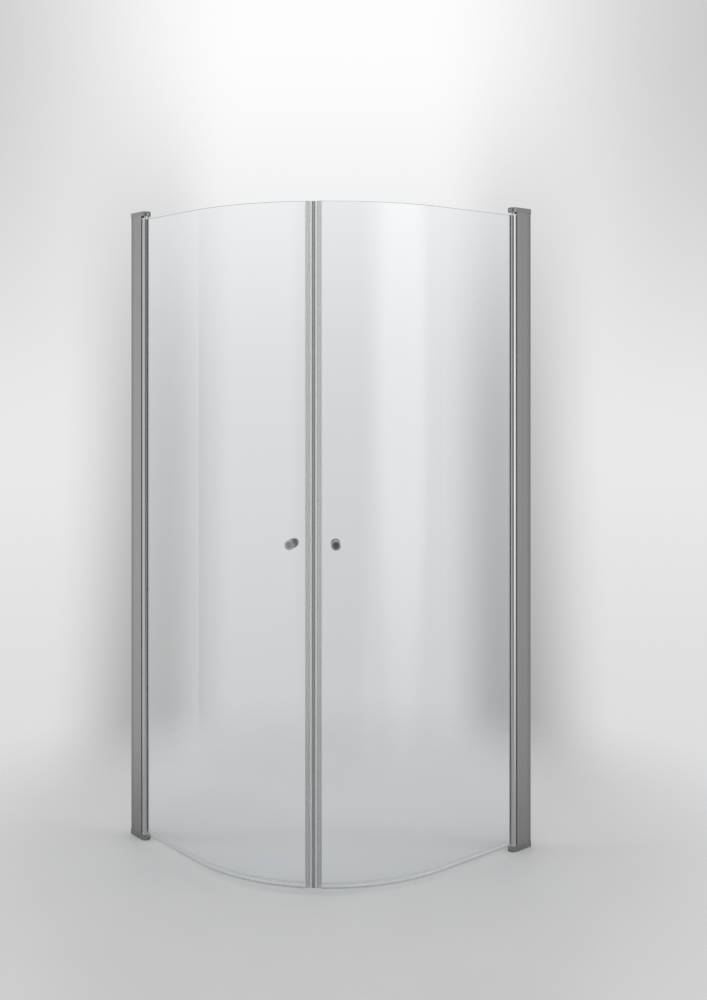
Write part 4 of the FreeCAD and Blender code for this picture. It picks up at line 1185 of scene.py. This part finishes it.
for part, offset, outward in (("outer_knob", GLASS_HALF, True), ("inner_knob", -GLASS_HALF, False)):
    knob = on_glass(as_object("knob", turned(knob_outline, 96)), offset, outward)
    shown(part, knob, "knob", moving=True, angle=30)
stud = on_glass(as_object("stud", turned(stud_outline)), 0)
shown("knob_stud", stud, "screw", moving=True)
mirrored_outline = [(-along, radius) for along, radius in grommet_outline]
both = joined(turned(grommet_outline, 64), turned(mirrored_outline, 64))
shown("knob_grommets", on_glass(as_object("grommets", both), 0), "grommet", moving=True)

# %% [markdown]
# ## Stage
# Glass and bright metal show little of their own: they show the studio. So the
# stage is a soft studio that a camera, a mirror and a pane all see, while the
# light on the object stays a plain, even grey. In front it is a pale backdrop
# with two shaded bands. Behind the camera it is pale too, and only what a mirror
# shows there has a dark middle and a bright card, which draw the long streaks on
# the columns and the glass. The numbers are heights and widths of directions,
# from -1 to 1, because a world has directions and no places.

# %% directions
CAMERA_TURN = math.radians(49.7)
BAND_REACH = math.sin(math.radians(9.5))
forwards = Vector((-math.sin(CAMERA_TURN), math.cos(CAMERA_TURN), 0))
sideways = Vector((math.cos(CAMERA_TURN), math.sin(CAMERA_TURN), 0))


def studio_way(degrees):
    """A level direction, from the camera's right hand round to straight ahead."""
    turn = math.radians(degrees)
    return sideways * math.cos(turn) + forwards * math.sin(turn)


# %% backdrop and studio
def backdrop_grey(tree, way, height):
    """Behind the object: bright towards the ceiling, two shaded bands lower down."""
    across = (tree.along(way, sideways) / BAND_REACH + 0.1).math("ABSOLUTE")
    wall = tree.ease(height, -0.3, 0.0, 0.62, 0.72) + tree.ease(height, -0.06, 0.28, 0.0, 0.26)
    foot = tree.ease(height, -0.25, -0.45) * -0.05
    outside = tree.ease(across, 0.82, 1.35)
    shaded = tree.ease(across, 0.52, 0.82) * (1 - outside) * tree.ease(height, -0.46, -0.3)
    bands = outside * 0.11 - shaded * 0.26
    vault = tree.ease(across, 0.4, 1.9) * -0.385
    climb = tree.ease(height, -0.08, 0.28)
    side = tree.ease(tree.along(way, studio_way(160)), 0.8, 0.97) * tree.ease(height, -0.42, -0.2) * 0.3
    return wall + foot + bands * (1 - climb) + vault * climb + side


def studio_grey(tree, way, height, mirrored):
    """Behind the camera: pale walls and the floor; a mirror shows a dark middle and a bright card."""
    dark = tree.ease(tree.along(way, studio_way(-88)), 0.86, 0.95)
    card = tree.ease(tree.along(way, studio_way(-38)), 0.92, 0.985)
    wall = (card * 0.9 - dark * 0.6) * mirrored + 0.9
    return wall + (0.6 - wall) * tree.ease(height, -0.12, -0.42)


# %% the world
EVEN_LIGHT = tint(0.62, 0.62, 0.62)
world = bpy.data.worlds.new("studio")
bpy.context.scene.world = world
world.use_nodes = True
world.node_tree.nodes.clear()
sky = Tree(world.node_tree)
way = sky.node("ShaderNodeTexCoord")
height = sky.split(way)[2]
ahead = sky.ease(sky.along(way, forwards), -0.15, 0.15)
path = sky.node("ShaderNodeLightPath")
mirrored = path.output("Glossy Depth").clamped()
shade = backdrop_grey(sky, way, height) * ahead + studio_grey(sky, way, height, mirrored) * (1 - ahead)
seen = (path + path.output("Is Glossy Ray") + path.output("Is Transmission Ray")).clamped()
light = sky.mix(seen, EVEN_LIGHT, sky.grey(shade))
background = sky.node("ShaderNodeBackground", None, {"Color": light})
sky.node("ShaderNodeOutputWorld", None, {"Surface": background})
print("made the world with", len(world.node_tree.nodes), "nodes")

# %% [markdown]
# ### Floor
# The floor is there for the shadow. A plane that ends would draw a line across
# the picture, so the paint fades into the world with the distance.

# %% floor
FLOOR_RADIUS = 3
FADE_START, FADE_STOP = 0.75, 1.8
floor_finish = Finish("pale_floor")
x, y = floor_finish.split(floor_finish.place)[:2]
away = (x * x + y * y).math("SQRT")
paint = floor_finish.surface(
    Base_Color=floor_finish.mix(floor_finish.noise(300), tint(0.55, 0.55, 0.553), tint(0.58, 0.58, 0.583)),
    Roughness=0.6,
)
clear = floor_finish.node("ShaderNodeBsdfTransparent")
fade = floor_finish.ease(away, FADE_START, FADE_STOP)
floor_finish.done(floor_finish.node("ShaderNodeMixShader", None, {0: fade, 1: paint, 2: clear}))
shape = bmesh.new()
bmesh.ops.create_circle(shape, cap_ends=True, segments=96, radius=FLOOR_RADIUS)
mesh = bpy.data.meshes.new("floor")
shape.to_mesh(mesh)
shape.free()
mesh.materials.append(floor_finish.material)
floor = bpy.data.objects.new("floor", mesh)
bpy.context.scene.collection.objects.link(floor)
print("floor fades out between", FADE_START, "and", FADE_STOP, "m")

# %% [markdown]
# ### Lamps and camera
# One large lamp overhead and a softbox on each side give soft shadows. Mirrors
# and panes don't show them, because their hard edges would look like windows.
# The camera stands level, as all uprights are parallel in the photograph, and
# its shift moves the picture up and down instead.

# %% lamps
AIM = Vector((0, 0, 1.0))


def lamp(name, right, back, up, width, tall, power):
    """A soft lamp at a place seen from the camera: right, behind, up."""
    light = bpy.data.lights.new(name, "AREA")
    light.shape = "RECTANGLE"
    light.size = width
    light.size_y = tall
    light.energy = power
    made = bpy.data.objects.new(name, light)
    made.location = sideways * right + forwards * back + Vector((0, 0, up))
    made.rotation_euler = (AIM - made.location).to_track_quat("-Z", "Y").to_euler()
    made.visible_glossy = False
    made.visible_transmission = False
    bpy.context.scene.collection.objects.link(made)
    print(name, power, "W")


lamp("overhead", 0.0, -0.6, 4.2, 3.0, 3.0, 60)
lamp("left_softbox", -3.4, 0.2, 1.3, 1.0, 2.6, 28)
lamp("right_softbox", 3.4, -0.8, 1.3, 1.0, 2.6, 28)

# %% camera
camera = bpy.data.cameras.new("camera")
camera.lens = 43.44
camera.shift_x = -0.0007
camera.shift_y = -0.1259
eye = bpy.data.objects.new("camera", camera)
eye.location = (2.966, -2.4078, 1.4748)
eye.rotation_euler = (math.pi / 2, 0, CAMERA_TURN)
bpy.context.scene.collection.objects.link(eye)
bpy.context.scene.camera = eye
bpy.context.scene.view_settings.view_transform = "Standard"
print("camera", round(eye.location.z, 2), "m above the floor")
